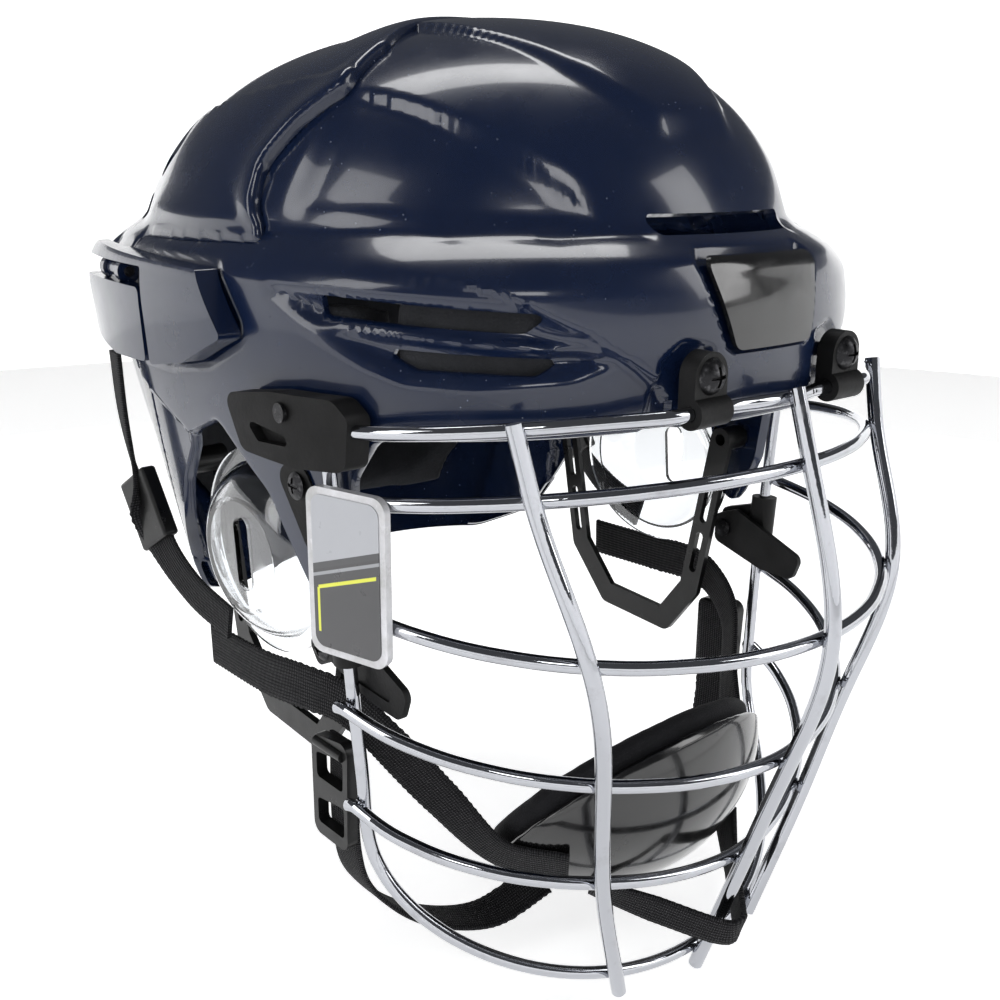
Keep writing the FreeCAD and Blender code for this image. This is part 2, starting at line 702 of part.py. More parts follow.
def build_padding():
    gap = dim("shell_wall") + dim("pad_gap")
    deep = gap + dim("pad_depth")
    under = dim("tongue_depth") + 2.6 + dim("pad_gap")
    front = pad(gap, deep, [(-140, 90), (-140, 57), (-56, 54), (-52, 88)], 5.0)
    keep(shape_piece("front_pad", front), "front_pad")
    side = pad(gap, deep, [(-46, 76), (-40, 50), (-33, 26), (-14, 44), (40, 46), (52, 76)], 5.0, -SIDE_REACH, 0.0)
    both_sides(shape_piece("side_pad", side), "side_pad")
    crown = pad(under, under + dim("pad_depth"), [(-48, 104), (28, 104), (28, 170), (-48, 170)], 5.0)
    keep(shape_piece("crown_pad", crown), "crown_pad")
    rear = pad(gap, deep, [(97, 39), (180, 39), (180, 90), (97, 90)], 5.0, -75.0, 75.0)
    keep(shape_piece("rear_pad", rear), "rear_pad")
    upper = pad(gap, deep, [(46, 108), (150, 108), (150, 170), (46, 170)], 4.0)
    keep(shape_piece("rear_crown_pad", upper), "rear_crown_pad")
    nape = pad(gap, gap + 9.0, [(93, -33), (150, -33), (150, 34), (98, 34)], 4.0)
    keep(shape_piece("occipital_pad", nape), "occipital_pad")


# ---------------------------------------------------------------- webbing and buckles

def ribbon(points, width_directions, width, thick):
    """Flat webbing: a ruled skin through rectangles set across the route."""
    rings = []
    for i, here in enumerate(points):
        run = points[min(i + 1, len(points) - 1)] - points[max(i - 1, 0)]
        wide = width_directions[i]
        face = run.cross(wide).normalize() * (thick / 2.0)
        edge = face.cross(run).normalize() * (width / 2.0)
        corners = [here + edge + face, here + edge - face, here - edge - face, here - edge + face]
        rings.append(Part.makePolygon(corners + corners[:1]))
    return Part.makeLoft(rings, True, True)


def blend_directions(start, end, count):
    return [(start + (end - start) * (i / (count - 1.0))).normalize() for i in range(count)]


CUP_CENTRE = V(0, -50, -68)


def on_cup(x, y, out=1.5):
    """A place under the chin cup, out from its outer face."""
    across, deep, tall = dim("cup_across"), dim("cup_deep"), dim("cup_tall")
    offset_y = y - CUP_CENTRE.y
    offset_z = -tall * math.sqrt(1.0 - (x / across) ** 2 - (offset_y / deep) ** 2)
    normal = V(x / across ** 2, offset_y / deep ** 2, offset_z / tall ** 2).normalize()
    return V(x, y, CUP_CENTRE.z + offset_z) + normal * out


def upper_strap():
    """From its free tail below the ear, inside the side wire, to the side of the chin cup."""
    route = [V(-88, 40, -41), V(-88, 8, -40), V(-86, -12, -38.5), V(-81.5, -27, -40), V(-76, -40, -49),
             V(-65, -50, -66), on_cup(-52, -62), on_cup(-40, -78)]
    wide = blend_directions(V(0, 0, 1), V(0.2, -0.55, 0.8), 6) + [V(-0.28, -0.33, 0.9)] * 2
    return ribbon(route, wide, dim("web_width"), dim("web_thick"))


def lower_strap():
    """From the ladder lock down and forward under the chin cup."""
    route = [V(-83, -28, -50), V(-83, -28, -84), V(-78, -30, -100), V(-64, -36, -113), V(-44, -44, -118),
             on_cup(-24, -50)]
    wide = [V(0, 1, 0)] * len(route)
    return ribbon(route, wide, dim("web_width"), dim("web_thick"))


def rear_strap():
    """From under the size latch down behind the ear to the foot of the ear guard."""
    route = [V(-98.8, 74, 51), V(-98.2, 73, 30), V(-96.4, 70, 10), V(-95.5, 58, -9), V(-94, 40, -21),
             V(-92, 20, -27)]
    wide = blend_directions(V(0.2, 1, 0), V(0, -0.5, 0.85), len(route))
    return ribbon(route, wide, 12.0, dim("web_thick"))


def rear_strap_tab():
    """The slider on the rear strap."""
    block = Part.makeBox(5.4, 17.0, 24.0, V(-2.7, -8.5, -12.0))
    block = block.makeFillet(1.2, block.Edges)
    slot = Part.makeBox(2.4, 13.4, 30.0, V(-1.2, -6.7, -15.0))
    loop = block.cut(slot)
    run = (V(-96.4, 70, 10) - V(-95.5, 58, -9)).normalize()
    across = V(0.1, -0.85, 0.5)
    face = run.cross(across).normalize()
    loop.Placement = FreeCAD.Placement(V(-95.95, 64, 0.5), FreeCAD.Rotation(face, run.cross(face), run, "ZXY"))
    return loop


def ladder_lock():
    """The buckle on the lower strap: a frame with two slots and a raised grip bar."""
    frame = side_prism([(-37.5, -47), (-18.5, -50), (-18.5, -82), (-36, -82)], 3.5, -88.2, -84.6)
    slots = [side_prism([(-35, low + 10), (-21, low + 8), (-21, low), (-34.5, low)], 1.5, -90.0, -84.0)
             for low in (-63, -78)]
    grip = Part.makeCylinder(1.6, 14.0, V(-88.0, -35.0, -51.5), Y_AXIS)
    return frame.cut(slots).fuse(grip).removeSplitter()


def front_strap():
    """Webbing from the cup round the outside of the centre upright and back."""
    bow = V(0, -109.2, -108)
    right = [on_cup(-30, -78), V(-18, -92, -102), V(-5, -106, -108)]
    route = right + [bow] + [V(-p.x, p.y, p.z) for p in reversed(right)]
    wide = [V(-0.16, -0.53, 0.65)] + [V(0, -0.3, 0.95)] * 5 + [V(0.16, -0.53, 0.65)]
    return ribbon(route, wide, 10.0, dim("web_thick"))


# ---------------------------------------------------------------- chin cup

def cup_ellipsoid(name, inset):
    ball = doc.addObject("Part::Ellipsoid", name)
    ball.setExpression("Radius1", "dims.cup_tall - %s" % inset)
    ball.setExpression("Radius2", "dims.cup_across - %s" % inset)
    ball.setExpression("Radius3", "dims.cup_deep - %s" % inset)
    ball.Angle1 = -90
    ball.Angle2 = 90
    ball.Angle3 = 360
    ball.Placement = FreeCAD.Placement(CUP_CENTRE, FreeCAD.Rotation())
    return ball


def cup_layer(name, outer_inset, inner_inset, raise_rim):
    """One layer of the bowl, trimmed by a plane that leaves it open up and back."""
    outer = cup_ellipsoid(name + "_outer", outer_inset)
    inner = cup_ellipsoid(name + "_inner", inner_inset)
    hollow = doc.addObject("Part::Cut", name + "_hollow")
    hollow.Base = outer
    hollow.Tool = inner
    trim = doc.addObject("Part::Box", name + "_trim")
    trim.Length = 160
    trim.Width = 160
    trim.Height = 120
    lean = FreeCAD.Rotation(X_AXIS, -49.0)
    mouth = V(0, -68.5, -85.0) + lean.multVec(V(0, 0, raise_rim))
    trim.Placement = FreeCAD.Placement(mouth + lean.multVec(V(-80, -80, -120)), lean)
    bowl = doc.addObject("Part::Common", name)
    bowl.Base = hollow
    bowl.Tool = trim
    return bowl


def build_chin_cup():
    keep(cup_layer("chin_cup_shell", "0", "dims.cup_wall", 6.0), "chin_cup_shell")
    keep(cup_layer("chin_cup_pad", "(dims.cup_wall + 0.3)", "(dims.cup_wall + dims.cup_pad)", 12.0),
         "chin_cup_pad")
    keep(cup_layer("chin_cup_lining", "(dims.cup_wall + dims.cup_pad + 0.3)",
                   "(dims.cup_wall + dims.cup_pad + 2.3)", 8.5), "chin_cup_lining")


# ---------------------------------------------------------------- assembly

def build_helmet():
    keep(shape_piece("front_shell", front_shell()), "front_shell")
    keep(shape_piece("rear_shell", rear_shell()), "rear_shell")
    keep(shape_piece("brow_plate", brow_plate()), "brow_plate")
    build_padding()
    both_sides(shape_piece("ear_guard", ear_guard()), "ear_guard")
    both_sides(shape_piece("ear_loop", ear_loop()), "ear_loop")
    both_sides(shape_piece("slot_plate", slot_plate()), "slot_plate")
    keep(shape_piece("side_screws", side_screws()), "side_screws")
    both_sides(shape_piece("latch_base", latch_base()), "latch_base")
    both_sides(shape_piece("latch_flap", latch_flap()), "latch_flap")
    both_sides(shape_piece("latch_pin", latch_round(dim("pin_radius") - 0.02, 20.5)), "latch_pin")
    both_sides(shape_piece("rear_strap", rear_strap()), "rear_strap")
    both_sides(shape_piece("rear_strap_tab", rear_strap_tab()), "rear_strap_tab")
    both_sides(shape_piece("jclip", jclip(-1)), "jclip")
    keep(shape_piece("jclip_screws", clip_screws()), "jclip_screws")


def build_face_guard():
    build_cage_wires()
    both_sides(shape_piece("side_bumper", side_bumper()), "side_bumper")
    keep(shape_piece("bumper_rivets", bumper_rivets()), "bumper_rivets")
    keep(shape_piece("label_plate", label_plate()), "label_plate")
    both_sides(shape_piece("snap_loop", snap_loop()), "snap_loop")
    both_sides(shape_piece("snap_tab", snap_tab()), "snap_tab")
    keep(shape_piece("snap_studs", snap_studs()), "snap_studs")
    build_chin_cup()
    both_sides(shape_piece("upper_strap", upper_strap()), "upper_strap")
    both_sides(shape_piece("lower_strap", lower_strap()), "lower_strap")
    both_sides(shape_piece("ladder_lock", ladder_lock()), "ladder_lock")
    keep(shape_piece("front_strap", front_strap()), "front_strap")


build_helmet()
build_face_guard()
doc.recompute()

for obj in doc.Objects:
    if "Invalid" in obj.State or "Error" in obj.State:
        raise RuntimeError("%s failed: %s" % (obj.Label, obj.State))
for obj in nodes:
    if obj.Shape.isNull() or not obj.Shape.isValid() or obj.Shape.Volume <= 0:
        raise RuntimeError("%s has a bad shape" % obj.Label)

os.makedirs("parts", exist_ok=True)
for obj in nodes:
    obj.Shape.exportStep(os.path.join("parts", obj.Label + ".step"))
    print("%-20s %10.0f mm3  %d solid(s)" % (obj.Label, obj.Shape.Volume, len(obj.Shape.Solids)))
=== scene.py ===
import math

import bmesh
import bpy
import numpy as np
from mathutils import Matrix, Vector


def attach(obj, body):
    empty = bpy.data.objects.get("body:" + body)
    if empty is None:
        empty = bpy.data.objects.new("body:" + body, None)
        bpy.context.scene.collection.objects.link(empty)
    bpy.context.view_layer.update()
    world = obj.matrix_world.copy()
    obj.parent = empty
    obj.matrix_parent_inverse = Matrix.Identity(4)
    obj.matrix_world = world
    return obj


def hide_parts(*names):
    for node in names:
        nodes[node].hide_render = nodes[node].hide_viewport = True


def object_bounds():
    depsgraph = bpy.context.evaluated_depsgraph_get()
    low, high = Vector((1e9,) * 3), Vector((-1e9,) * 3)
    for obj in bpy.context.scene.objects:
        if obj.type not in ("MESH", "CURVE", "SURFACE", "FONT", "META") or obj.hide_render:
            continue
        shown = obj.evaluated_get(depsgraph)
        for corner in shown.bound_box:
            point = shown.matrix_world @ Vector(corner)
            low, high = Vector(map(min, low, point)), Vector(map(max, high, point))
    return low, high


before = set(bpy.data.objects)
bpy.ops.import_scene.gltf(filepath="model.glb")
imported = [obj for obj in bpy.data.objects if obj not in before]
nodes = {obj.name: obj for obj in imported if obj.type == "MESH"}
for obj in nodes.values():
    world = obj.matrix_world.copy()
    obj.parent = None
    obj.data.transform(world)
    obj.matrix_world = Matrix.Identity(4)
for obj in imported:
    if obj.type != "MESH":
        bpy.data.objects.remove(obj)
cad_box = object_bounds()

# Shapes are worked out in millimetres and turned into metres where a mesh is made.
MM = 0.001
RIGHT, LEFT = -1.0, 1.0
SIDE_WORDS = {RIGHT: "right", LEFT: "left"}


# ---------------------------------------------------------------- small helpers

def smooth_step(s):
    s = np.clip(s, 0.0, 1.0)
    return s * s * (3.0 - 2.0 * s)


def ease(low, high, value):
    return smooth_step((value - low) / (high - low))


def mix(a, b, s):
    return a + (b - a) * s


def unit(v):
    v = np.asarray(v, float)
    return v / np.maximum(np.linalg.norm(v, axis=-1, keepdims=True), 1e-12)


def new_mesh(name, points_mm, faces, sharp_deg=40.0):
    """A smooth-shaded mesh object with its sharp edges marked."""
    mesh = bpy.data.meshes.new(name)
    mesh.from_pydata((np.asarray(points_mm, float) * MM).tolist(), [], faces)
    mesh.update()
    mesh.shade_smooth()
    mesh.set_sharp_from_angle(angle=math.radians(sharp_deg))
    obj = bpy.data.objects.new(name, mesh)
    bpy.context.scene.collection.objects.link(obj)
    return obj


def outward(obj):
    """Turns every face of a closed mesh to point out."""
    work = bmesh.new()
    work.from_mesh(obj.data)
    bmesh.ops.recalc_face_normals(work, faces=work.faces)
    work.to_mesh(obj.data)
    work.free()
    return obj


def ring_faces(rings, sides):
    """Quads that join closed rings of points, each with the same number of sides."""
    faces = []
    for i in range(rings - 1):
        for k in range(sides):
            after = (k + 1) % sides
            faces.append((i * sides + k, i * sides + after, (i + 1) * sides + after, (i + 1) * sides + k))
    return faces


def finish_piece(obj, body, finish, stands_for=()):
    """Gives a new piece its material and its body, and hides the nodes that it stands for."""
    obj.data.materials.clear()
    obj.data.materials.append(finish)
    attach(obj, body)
    if stands_for:
        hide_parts(*stands_for)
    return obj


# ---------------------------------------------------------------- outlines

def rounded_loop(corners, radius, step=0.6):
    """A closed outline of 2-D points, with each corner rounded to radius where it fits."""
    corners = np.asarray(corners, float)
    count = len(corners)
    points = []
    for i in range(count):
        here = corners[i]
        a = corners[i - 1] - here
        b = corners[(i + 1) % count] - here
        la, lb = np.linalg.norm(a), np.linalg.norm(b)
        a, b = a / la, b / lb
        half = math.acos(np.clip(a @ b, -1, 1)) / 2.0
        reach = min(radius / max(math.tan(half), 1e-6), 0.45 * min(la, lb))
        bend = reach * math.tan(half)
        middle = here + unit(a + b) * math.hypot(bend, reach)
        start, end = here + a * reach, here + b * reach
        turn = math.pi - 2.0 * half
        pieces = max(int(bend * turn / step), 2)
        for k in range(pieces + 1):
            s = k / pieces
            chord = mix(start, end, s) - middle
            points.append(middle + unit(chord) * bend)
    dense = []
    for i, here in enumerate(points):
        after = points[(i + 1) % len(points)]
        pieces = max(int(np.linalg.norm(after - here) / (4.0 * step)), 1)
        dense += [mix(here, after, k / pieces) for k in range(pieces)]
    return np.array(dense)


def loop_distance(points, loop):
    """Signed distance of 2-D points to a closed outline, negative inside."""
    a = loop
    b = np.roll(loop, -1, axis=0)
    ab = b - a
    best = np.full(len(points), 1e18)
    inside = np.zeros(len(points), bool)
    px, py = points[:, 0], points[:, 1]
    for k in range(len(a)):
        if not ab[k].any():
            continue
        t = np.clip(((px - a[k, 0]) * ab[k, 0] + (py - a[k, 1]) * ab[k, 1]) / (ab[k] @ ab[k]), 0.0, 1.0)
        qx, qy = a[k, 0] + t * ab[k, 0], a[k, 1] + t * ab[k, 1]
        d = (px - qx) ** 2 + (py - qy) ** 2
        best = np.where(d < best, d, best)
        crosses = (a[k, 1] > py) != (b[k, 1] > py)
        if crosses.any():
            at = a[k, 0] + (py - a[k, 1]) * ab[k, 0] / (ab[k, 1] if ab[k, 1] else 1e-12)
            inside ^= crosses & (px < at)
    distance = np.sqrt(best)
    return np.where(inside, -distance, distance)


def line_distance(points, normals, line):
    """Distance to a 3-D line on the shell, positive to the right of its direction seen from outside, and the
    share of the line's length at the nearest place."""
    line = np.asarray(line, float)
    a, b = line[:-1], line[1:]
    lengths = np.linalg.norm(b - a, axis=1)
    starts = np.concatenate([[0.0], np.cumsum(lengths)])
    best = np.full(len(points), 1e18)
    side = np.ones(len(points))
    share = np.zeros(len(points))
    for k in range(len(a)):
        ab = b[k] - a[k]
        ap = points - a[k]
        t = np.clip(ap @ ab / (ab @ ab), 0.0, 1.0)
        off = ap - t[:, None] * ab
        d = (off ** 2).sum(1)
        closer = d < best
        sign = np.sign((np.cross(ab, normals) * off).sum(1))
        best = np.where(closer, d, best)
        side = np.where(closer, sign, side)
        share = np.where(closer, (starts[k] + t * lengths[k]) / starts[-1], share)
    return np.sqrt(best) * np.where(side == 0, 1, side), share


# ---------------------------------------------------------------- shell surface, the same as the CAD's

DOME = {"half": 96.5, "front": 92.8, "back": 154.7, "crown": 149.5, "base": 59.5, "power": 2.35, "lean": 9.5}
BAND = {"half": 101.0, "front": 107.0, "back": 157.0, "level": 75.0}
WIDEST_Y = 21.0
WALL = 3.0
SIZE_TRAVEL = 12.0


def shell_slice(z, grow=0.0):
    """Half width, front, back, middle and power of the shell's section at height z."""
    crown = DOME["crown"] + grow
    rise = np.clip((z - DOME["base"]) / (crown - DOME["base"]), 0.0, 0.99999)
    size = (1.0 - rise ** DOME["power"]) ** (1.0 / DOME["power"])
    dome_middle = WIDEST_Y - DOME["lean"] * rise
    dome_front = dome_middle - (DOME["front"] + WIDEST_Y + grow) * size
    dome_back = dome_middle + (DOME["back"] - WIDEST_Y + grow) * size
    dome_half = (DOME["half"] + grow) * size
    drop = np.maximum(BAND["level"] - z, 0.0) / 87.0
    lift = np.maximum(z - 66.0, 0.0) / 25.0
    band_half = BAND["half"] - 8.0 * drop ** 1.4 + grow
    band_front = -BAND["front"] + 5.2 * lift ** 1.5 - grow
    band_back = BAND["back"] - 39.0 * drop ** 1.35 + grow
    side = ease(80.0, 94.0, z)
    return (mix(band_half, dome_half, side), mix(band_front, dome_front, ease(87.0, 97.0, z)),
            mix(band_back, dome_back, ease(76.0, 92.0, z)), mix(WIDEST_Y, dome_middle, side),
            mix(2.3, 2.0, side))


def shell_point(angle, z, grow=0.0):
    """Angle -pi/2 is the front, 0 the wearer's right and pi/2 the back; the left side mirrors it."""
    half, front, back, middle, power = shell_slice(z, grow)
    c, s = np.cos(angle), np.sin(angle)
    x = -half * np.sign(c) * np.abs(c) ** (2.0 / power)
    reach = np.where(s > 0, back - middle, middle - front)
    y = middle + reach * np.sign(s) * np.abs(s) ** (2.0 / power)
    return np.stack([x, y, z * np.ones_like(x)], -1)


# Outlines as (y, z) seen from the side: the rim, the seam between the two shells, and the vents with their
# corner radius. The brow slot is (x, z) seen from the front.
RIM = [(-140, 50), (-52, 43), (-44, 31), (-42, 8), (-34, -9), (-27, -8), (-13, 22), (8, 40), (28, 32),
       (44, 13), (56, -8), (68, -33), (84, -42), (175, -38), (175, 175), (-140, 175)]
SEAM = [(-150, -70), (62, -70), (62, 88), (-10, 89.5), (-8, 93), (-4, 100), (-3, 109), (-8, 119), (-15, 128),
        (-9, 140), (2, 147), (12, 152), (12, 190), (-150, 190)]
SIDE_VENTS = [
    ([(-38, 79), (-36, 73.5), (-84, 71.5), (-88, 76.5)], 2.0),
    ([(-52, 66.5), (-62, 61.5), (-86, 61), (-91, 65)], 1.6),
]
REAR_VENTS = [
    ([(70, 123), (63, 114), (73, 103), (80, 110)], 3.0),
    ([(75, 100), (85, 98), (86, 91), (77, 91)], 2.5),
]
BROW_SLOT = ([(-27, 98.5), (27, 98.5), (25, 93.5), (-25, 93.5)], 1.2)


def rim_columns(count):
    """Angles and heights of evenly spaced places along one side's rim, from front to back."""
    loop = rounded_loop(RIM, 7.0, 0.5)
    lower = loop[(loop[:, 1] < 60) & (loop[:, 0] > -106.9) & (loop[:, 0] < 170)]
    lower = lower[np.argsort(lower[:, 0], kind="stable")]
    y, z = lower[:, 0], lower[:, 1]
    _, front, back, middle, power = shell_slice(z)
    reach = np.where(y > middle, back - middle, middle - front)
    part = np.clip((y - middle) / reach, -1.0, 1.0)
    angle = np.arcsin(np.sign(part) * np.abs(part) ** (power / 2.0))
    keep = np.concatenate([[True], np.diff(angle) > 1e-5])
    keep &= np.abs(angle) < 1.5
    angle, z = angle[keep], z[keep]
    angle = np.concatenate([[-math.pi / 2], angle, [math.pi / 2]])
    z = np.concatenate([z[:1], z, z[-1:]])
    points = shell_point(angle, z)
    run = np.concatenate([[0.0], np.cumsum(np.linalg.norm(np.diff(points, axis=0), axis=1))])
    at = np.linspace(0.0, run[-1], count)
    return np.interp(at, run, angle), np.interp(at, run, z)


def shell_grid(columns_per_side, low_rows, dome_rows):
    """Points of the bare shell surface, in rows from rim to crown and in columns all the way round."""
    rim_angle, rim_z = rim_columns(columns_per_side + 1)
    even = np.linspace(-math.pi / 2, math.pi / 2, columns_per_side + 1)
    neck = 99.0
    rows = []
    for i in range(low_rows):
        t = i / low_rows
        angle = mix(rim_angle, even, smooth_step(min(t * 1.25, 1.0)))
        rows.append(shell_point(angle, mix(rim_z, neck, t)))
    heights = np.linspace(neck, DOME["crown"] - 0.02, 4000)
    profile = shell_point(np.zeros(4000), heights)
    run = np.concatenate([[0.0], np.cumsum(np.linalg.norm(np.diff(profile, axis=0), axis=1))])
    for z in np.interp(np.linspace(0.0, run[-1], dome_rows), run, heights):
        rows.append(shell_point(even, np.full_like(even, z)))
    right = np.array(rows)
    left = right[:, ::-1][:, 1:-1] * np.array([-1.0, 1.0, 1.0])
    return np.concatenate([right, left], axis=1)


def grid_normals(grid):
    along = np.roll(grid, -1, axis=1) - np.roll(grid, 1, axis=1)
    up = np.gradient(grid, axis=0)
    normals = unit(np.cross(up, along))
    centre = np.array([0.0, WIDEST_Y, 40.0])
    flip = np.sign((normals * (grid - centre)).sum(-1, keepdims=True))
    return normals * np.where(flip == 0, 1, flip)


def snap_to(grid, loop, axes, within=None):
    """Moves the grid points next to an outline onto it, so that no grid edge crosses it between points.

    Returns the signed distance of every point to the outline, which is zero where a point was moved."""
    shape = grid.shape[:2]
    distance = loop_distance(grid.reshape(-1, 3)[:, axes], loop).reshape(shape)
    if within is not None:
        distance = np.where(within(grid), distance, 99.0)
    target = grid.copy()
    best = np.full(shape, 2.0)
    before = grid.copy()
    for axis in (0, 1):
        there = np.roll(distance, -1, axis=axis)
        crosses = (distance < 0) != (there < 0)
        crosses &= np.maximum(np.abs(distance), np.abs(there)) < 50.0
        if axis == 0:
            crosses[-1] = False
        gap = np.maximum(np.abs(distance) + np.abs(there), 1e-9)
        share = np.where(crosses, np.abs(distance) / gap, 0.0)
        spot = mix(before, np.roll(before, -1, axis=axis), share[..., None])
        nearer_here = (crosses & (share <= 0.5), share, 0)
        nearer_there = (crosses & (share > 0.5), 1.0 - share, 1)
        for take, cost, step in (nearer_here, nearer_there):
            cost_here = np.roll(np.where(take, cost, 2.0), step, axis=axis)
            spot_here = np.roll(spot, step, axis=axis)
            closer = cost_here < best
            best = np.where(closer, cost_here, best)
            target = np.where(closer[..., None], spot_here, target)
    grid[:] = target
    return np.where(best < 2.0, 0.0, distance)


# Lines of the moulded relief, on the wearer's right, from back to front.
RIDGE_LINE = [(-66, -12, 128.5), (-61, -35, 124.5), (-54, -56, 117), (-44, -72, 106.5), (-35, -83, 93)]
RING_CREASE = [(-93, 90, 88), (-96, 51, 88.5), (-96, 19, 90.5), (-91, -3, 93), (-83, -30, 95),
               (-67, -58, 93.5), (-48, -77, 92.5), (-29, -87, 94)]
NAPE_EDGE = [(-90, 95, 55), (-95, 66, 48), (-96, 60, 43), (-97, 50, 40), (-98, 38, 36.5), (-98, 28, 33)]
BROW_CREASE = [(-62, -86, 77), (-53, -94, 72), (-42, -100, 64), (-35, -104, 57), (-31, -106, 48)]
REAR_CREASE = [(-62, -8, 132), (-66, 20, 128), (-66, 50, 124), (-60, 85, 117), (-48, 115, 108)]
PLATEAU = [(-33, 20), (-32, -23), (-30, -42), (-28, -55), (-22, -70), (-15, -80), (15, -80), (22, -70),
           (28, -55), (30, -42), (32, -23), (33, 20)]
SCOOP = [(-15, 81), (-40, 81), (-64, 80), (-86, 78.5), (-94, 71), (-99, 64), (-92, 59.5), (-75, 57.5),
         (-60, 58), (-50, 61.5), (-36, 68.5), (-22, 77)]
PLATE_OUTLINE = [(-23, 90), (23, 90), (15.6, 66), (-15.6, 66)]
PLATE_MIDDLE = 78
CLIP_POCKET = [(-39, 52), (-36, 65), (-30, 70), (-21, 68), (-19, 44), (-40, 44)]
LATCH_POCKET = [(96, 87.5), (0, 86.5), (-14, 66), (8, 54.5), (33, 50.5), (96, 50.5)]


def edge_round(distance, radius=1.1):
    """How far a surface falls away next to an edge that is distance away."""
    d = np.clip(distance / radius, 0.0, 1.0)
    return radius * (1.0 - np.sqrt(np.clip(1.0 - (1.0 - d) ** 2, 0.0, 1.0)))


def relief_side(points, outline, corner, depth, width):
    """A recess with a (y, z) outline, whose walls slope over width."""
    distance = loop_distance(points[:, [1, 2]], rounded_loop(outline, corner))
    return -depth * smooth_step(-distance / width)


def relief_front(points, outline, corner, depth, width):
    """A recess in the front with an (x, z) outline, whose walls slope over width."""
    distance = loop_distance(points[:, [0, 2]], rounded_loop(outline, corner))
    return -depth * smooth_step(-distance / width) * (points[:, 1] < 0)


def front_relief(points, normals):
    """Moulded relief of the front shell in millimetres outward; points and normals are on the right side."""
    height = np.zeros(len(points))
    across, share = line_distance(points, normals, RIDGE_LINE)
    crease, _ = line_distance(points, normals, RING_CREASE)
    half = mix(2.2, 6.0, smooth_step(share))
    above_band = ease(0.0, 7.0, -crease)
    fade = ease(0.0, 0.12, share) * ease(1.0, 0.8, share)
    height -= 2.0 * smooth_step((across + half) / (2.0 * half)) * above_band * fade * ease(60.0, 20.0, across)
    height -= 0.8 * np.exp(-(crease / 2.6) ** 2)
    plateau = loop_distance(points[:, [0, 1]], rounded_loop(PLATEAU, 8.0))
    bevel = mix(1.6, 7.0, ease(20.0, 76.0, -points[:, 1]))
    height += 2.0 * smooth_step(-plateau / bevel) * (points[:, 2] > 100)
    height += relief_side(points, SCOOP, 7.0, 4.2, 6.0)
    blade = mix(70.5, 68.0, ease(-50.0, -90.0, points[:, 1]))
    scoop_share = -relief_side(points, SCOOP, 5.0, 1.0, 6.0)
    height += 2.4 * np.exp(-((points[:, 2] - blade) / 1.9) ** 2) * scoop_share
    brow, _ = line_distance(points, normals, BROW_CREASE)
    height -= 1.7 * smooth_step((brow + 0.4) / 2.6) * np.exp(-(np.maximum(brow, 0.0) / 24.0) ** 2)
    seat = [(x * 1.06, mix(PLATE_MIDDLE, z, 1.08)) for x, z in PLATE_OUTLINE]
    height += relief_front(points, seat, 3.5, 2.2, 1.0)
    height += relief_front(points, CLIP_POCKET, 3.0, 1.6, 1.4)
    height += relief_side(points, LATCH_POCKET, 6.0, 1.2, 3.0) * (points[:, 1] > -40)
    height += nape_step(points, normals)
    return height


def nape_step(points, normals):
    """Below its edge behind the ear the shell steps in by the thickness of a wall."""
    edge, _ = line_distance(points, normals, NAPE_EDGE)
    near_enough = (points[:, 1] > 24.0) & (points[:, 2] < 60.0)
    return -2.6 * smooth_step(edge / 1.2) * near_enough * ease(24.0, 34.0, points[:, 1])


def rear_relief(points, normals):
    """Moulded relief of the rear shell in millimetres outward; points and normals are on the right side."""
    height = np.zeros(len(points))
    crease, _ = line_distance(points, normals, RING_CREASE)
    height -= 0.5 * np.exp(-(crease / 2.8) ** 2)
    line, share = line_distance(points, normals, REAR_CREASE)
    raised = smooth_step((3.0 - line) / 6.0) * np.exp(-(np.minimum(line, 0.0) / 45.0) ** 2)
    height += 1.3 * raised * (share < 0.999)
    height += relief_side(points, LATCH_POCKET, 6.0, 1.2, 3.0)
    height += nape_step(points, normals) * ease(110.0, 80.0, points[:, 1])
    return height


def nearest_edge(first, second):
    return np.where(np.abs(first) < np.abs(second), first, second)


def on_side(grid):
    return np.abs(grid[..., 0]) > 30.0


def in_front(grid):
    return grid[..., 1] < 0.0


TONGUE_DROP = 5.8
TONGUE_WALL = 2.0
LIP_HEIGHT = 2.9
APEX_Y = 11.5


def front_heights(grid, points, directions, rims, from_rim):
    """Outer and inner offsets of the front shell, which steps in as a tongue under the rear shell."""
    shape = grid.shape[:2]
    outer = front_relief(points, directions).reshape(shape)
    outer = mix(outer, -TONGUE_DROP, ease(0.0, 1.2, rims["seam"]))
    outer = outer - edge_round(from_rim, 1.6)
    return outer, np.minimum(-WALL, outer - TONGUE_WALL)


def rear_heights(grid, points, directions, rims, from_rim):
    """Outer and inner offsets of the rear shell, with its raised lip along the seam on the dome."""
    shape = grid.shape[:2]
    outer = rear_relief(points, directions).reshape(shape)
    on_dome = ease(88.0, 96.0, grid[..., 2])
    outer = outer + LIP_HEIGHT * np.exp(-(rims["seam"] / 9.0) ** 2) * on_dome
    for away in (from_rim, rims["seam"]):
        outer = outer - edge_round(np.abs(away), 1.8)
    return outer, np.full(shape, -WALL)


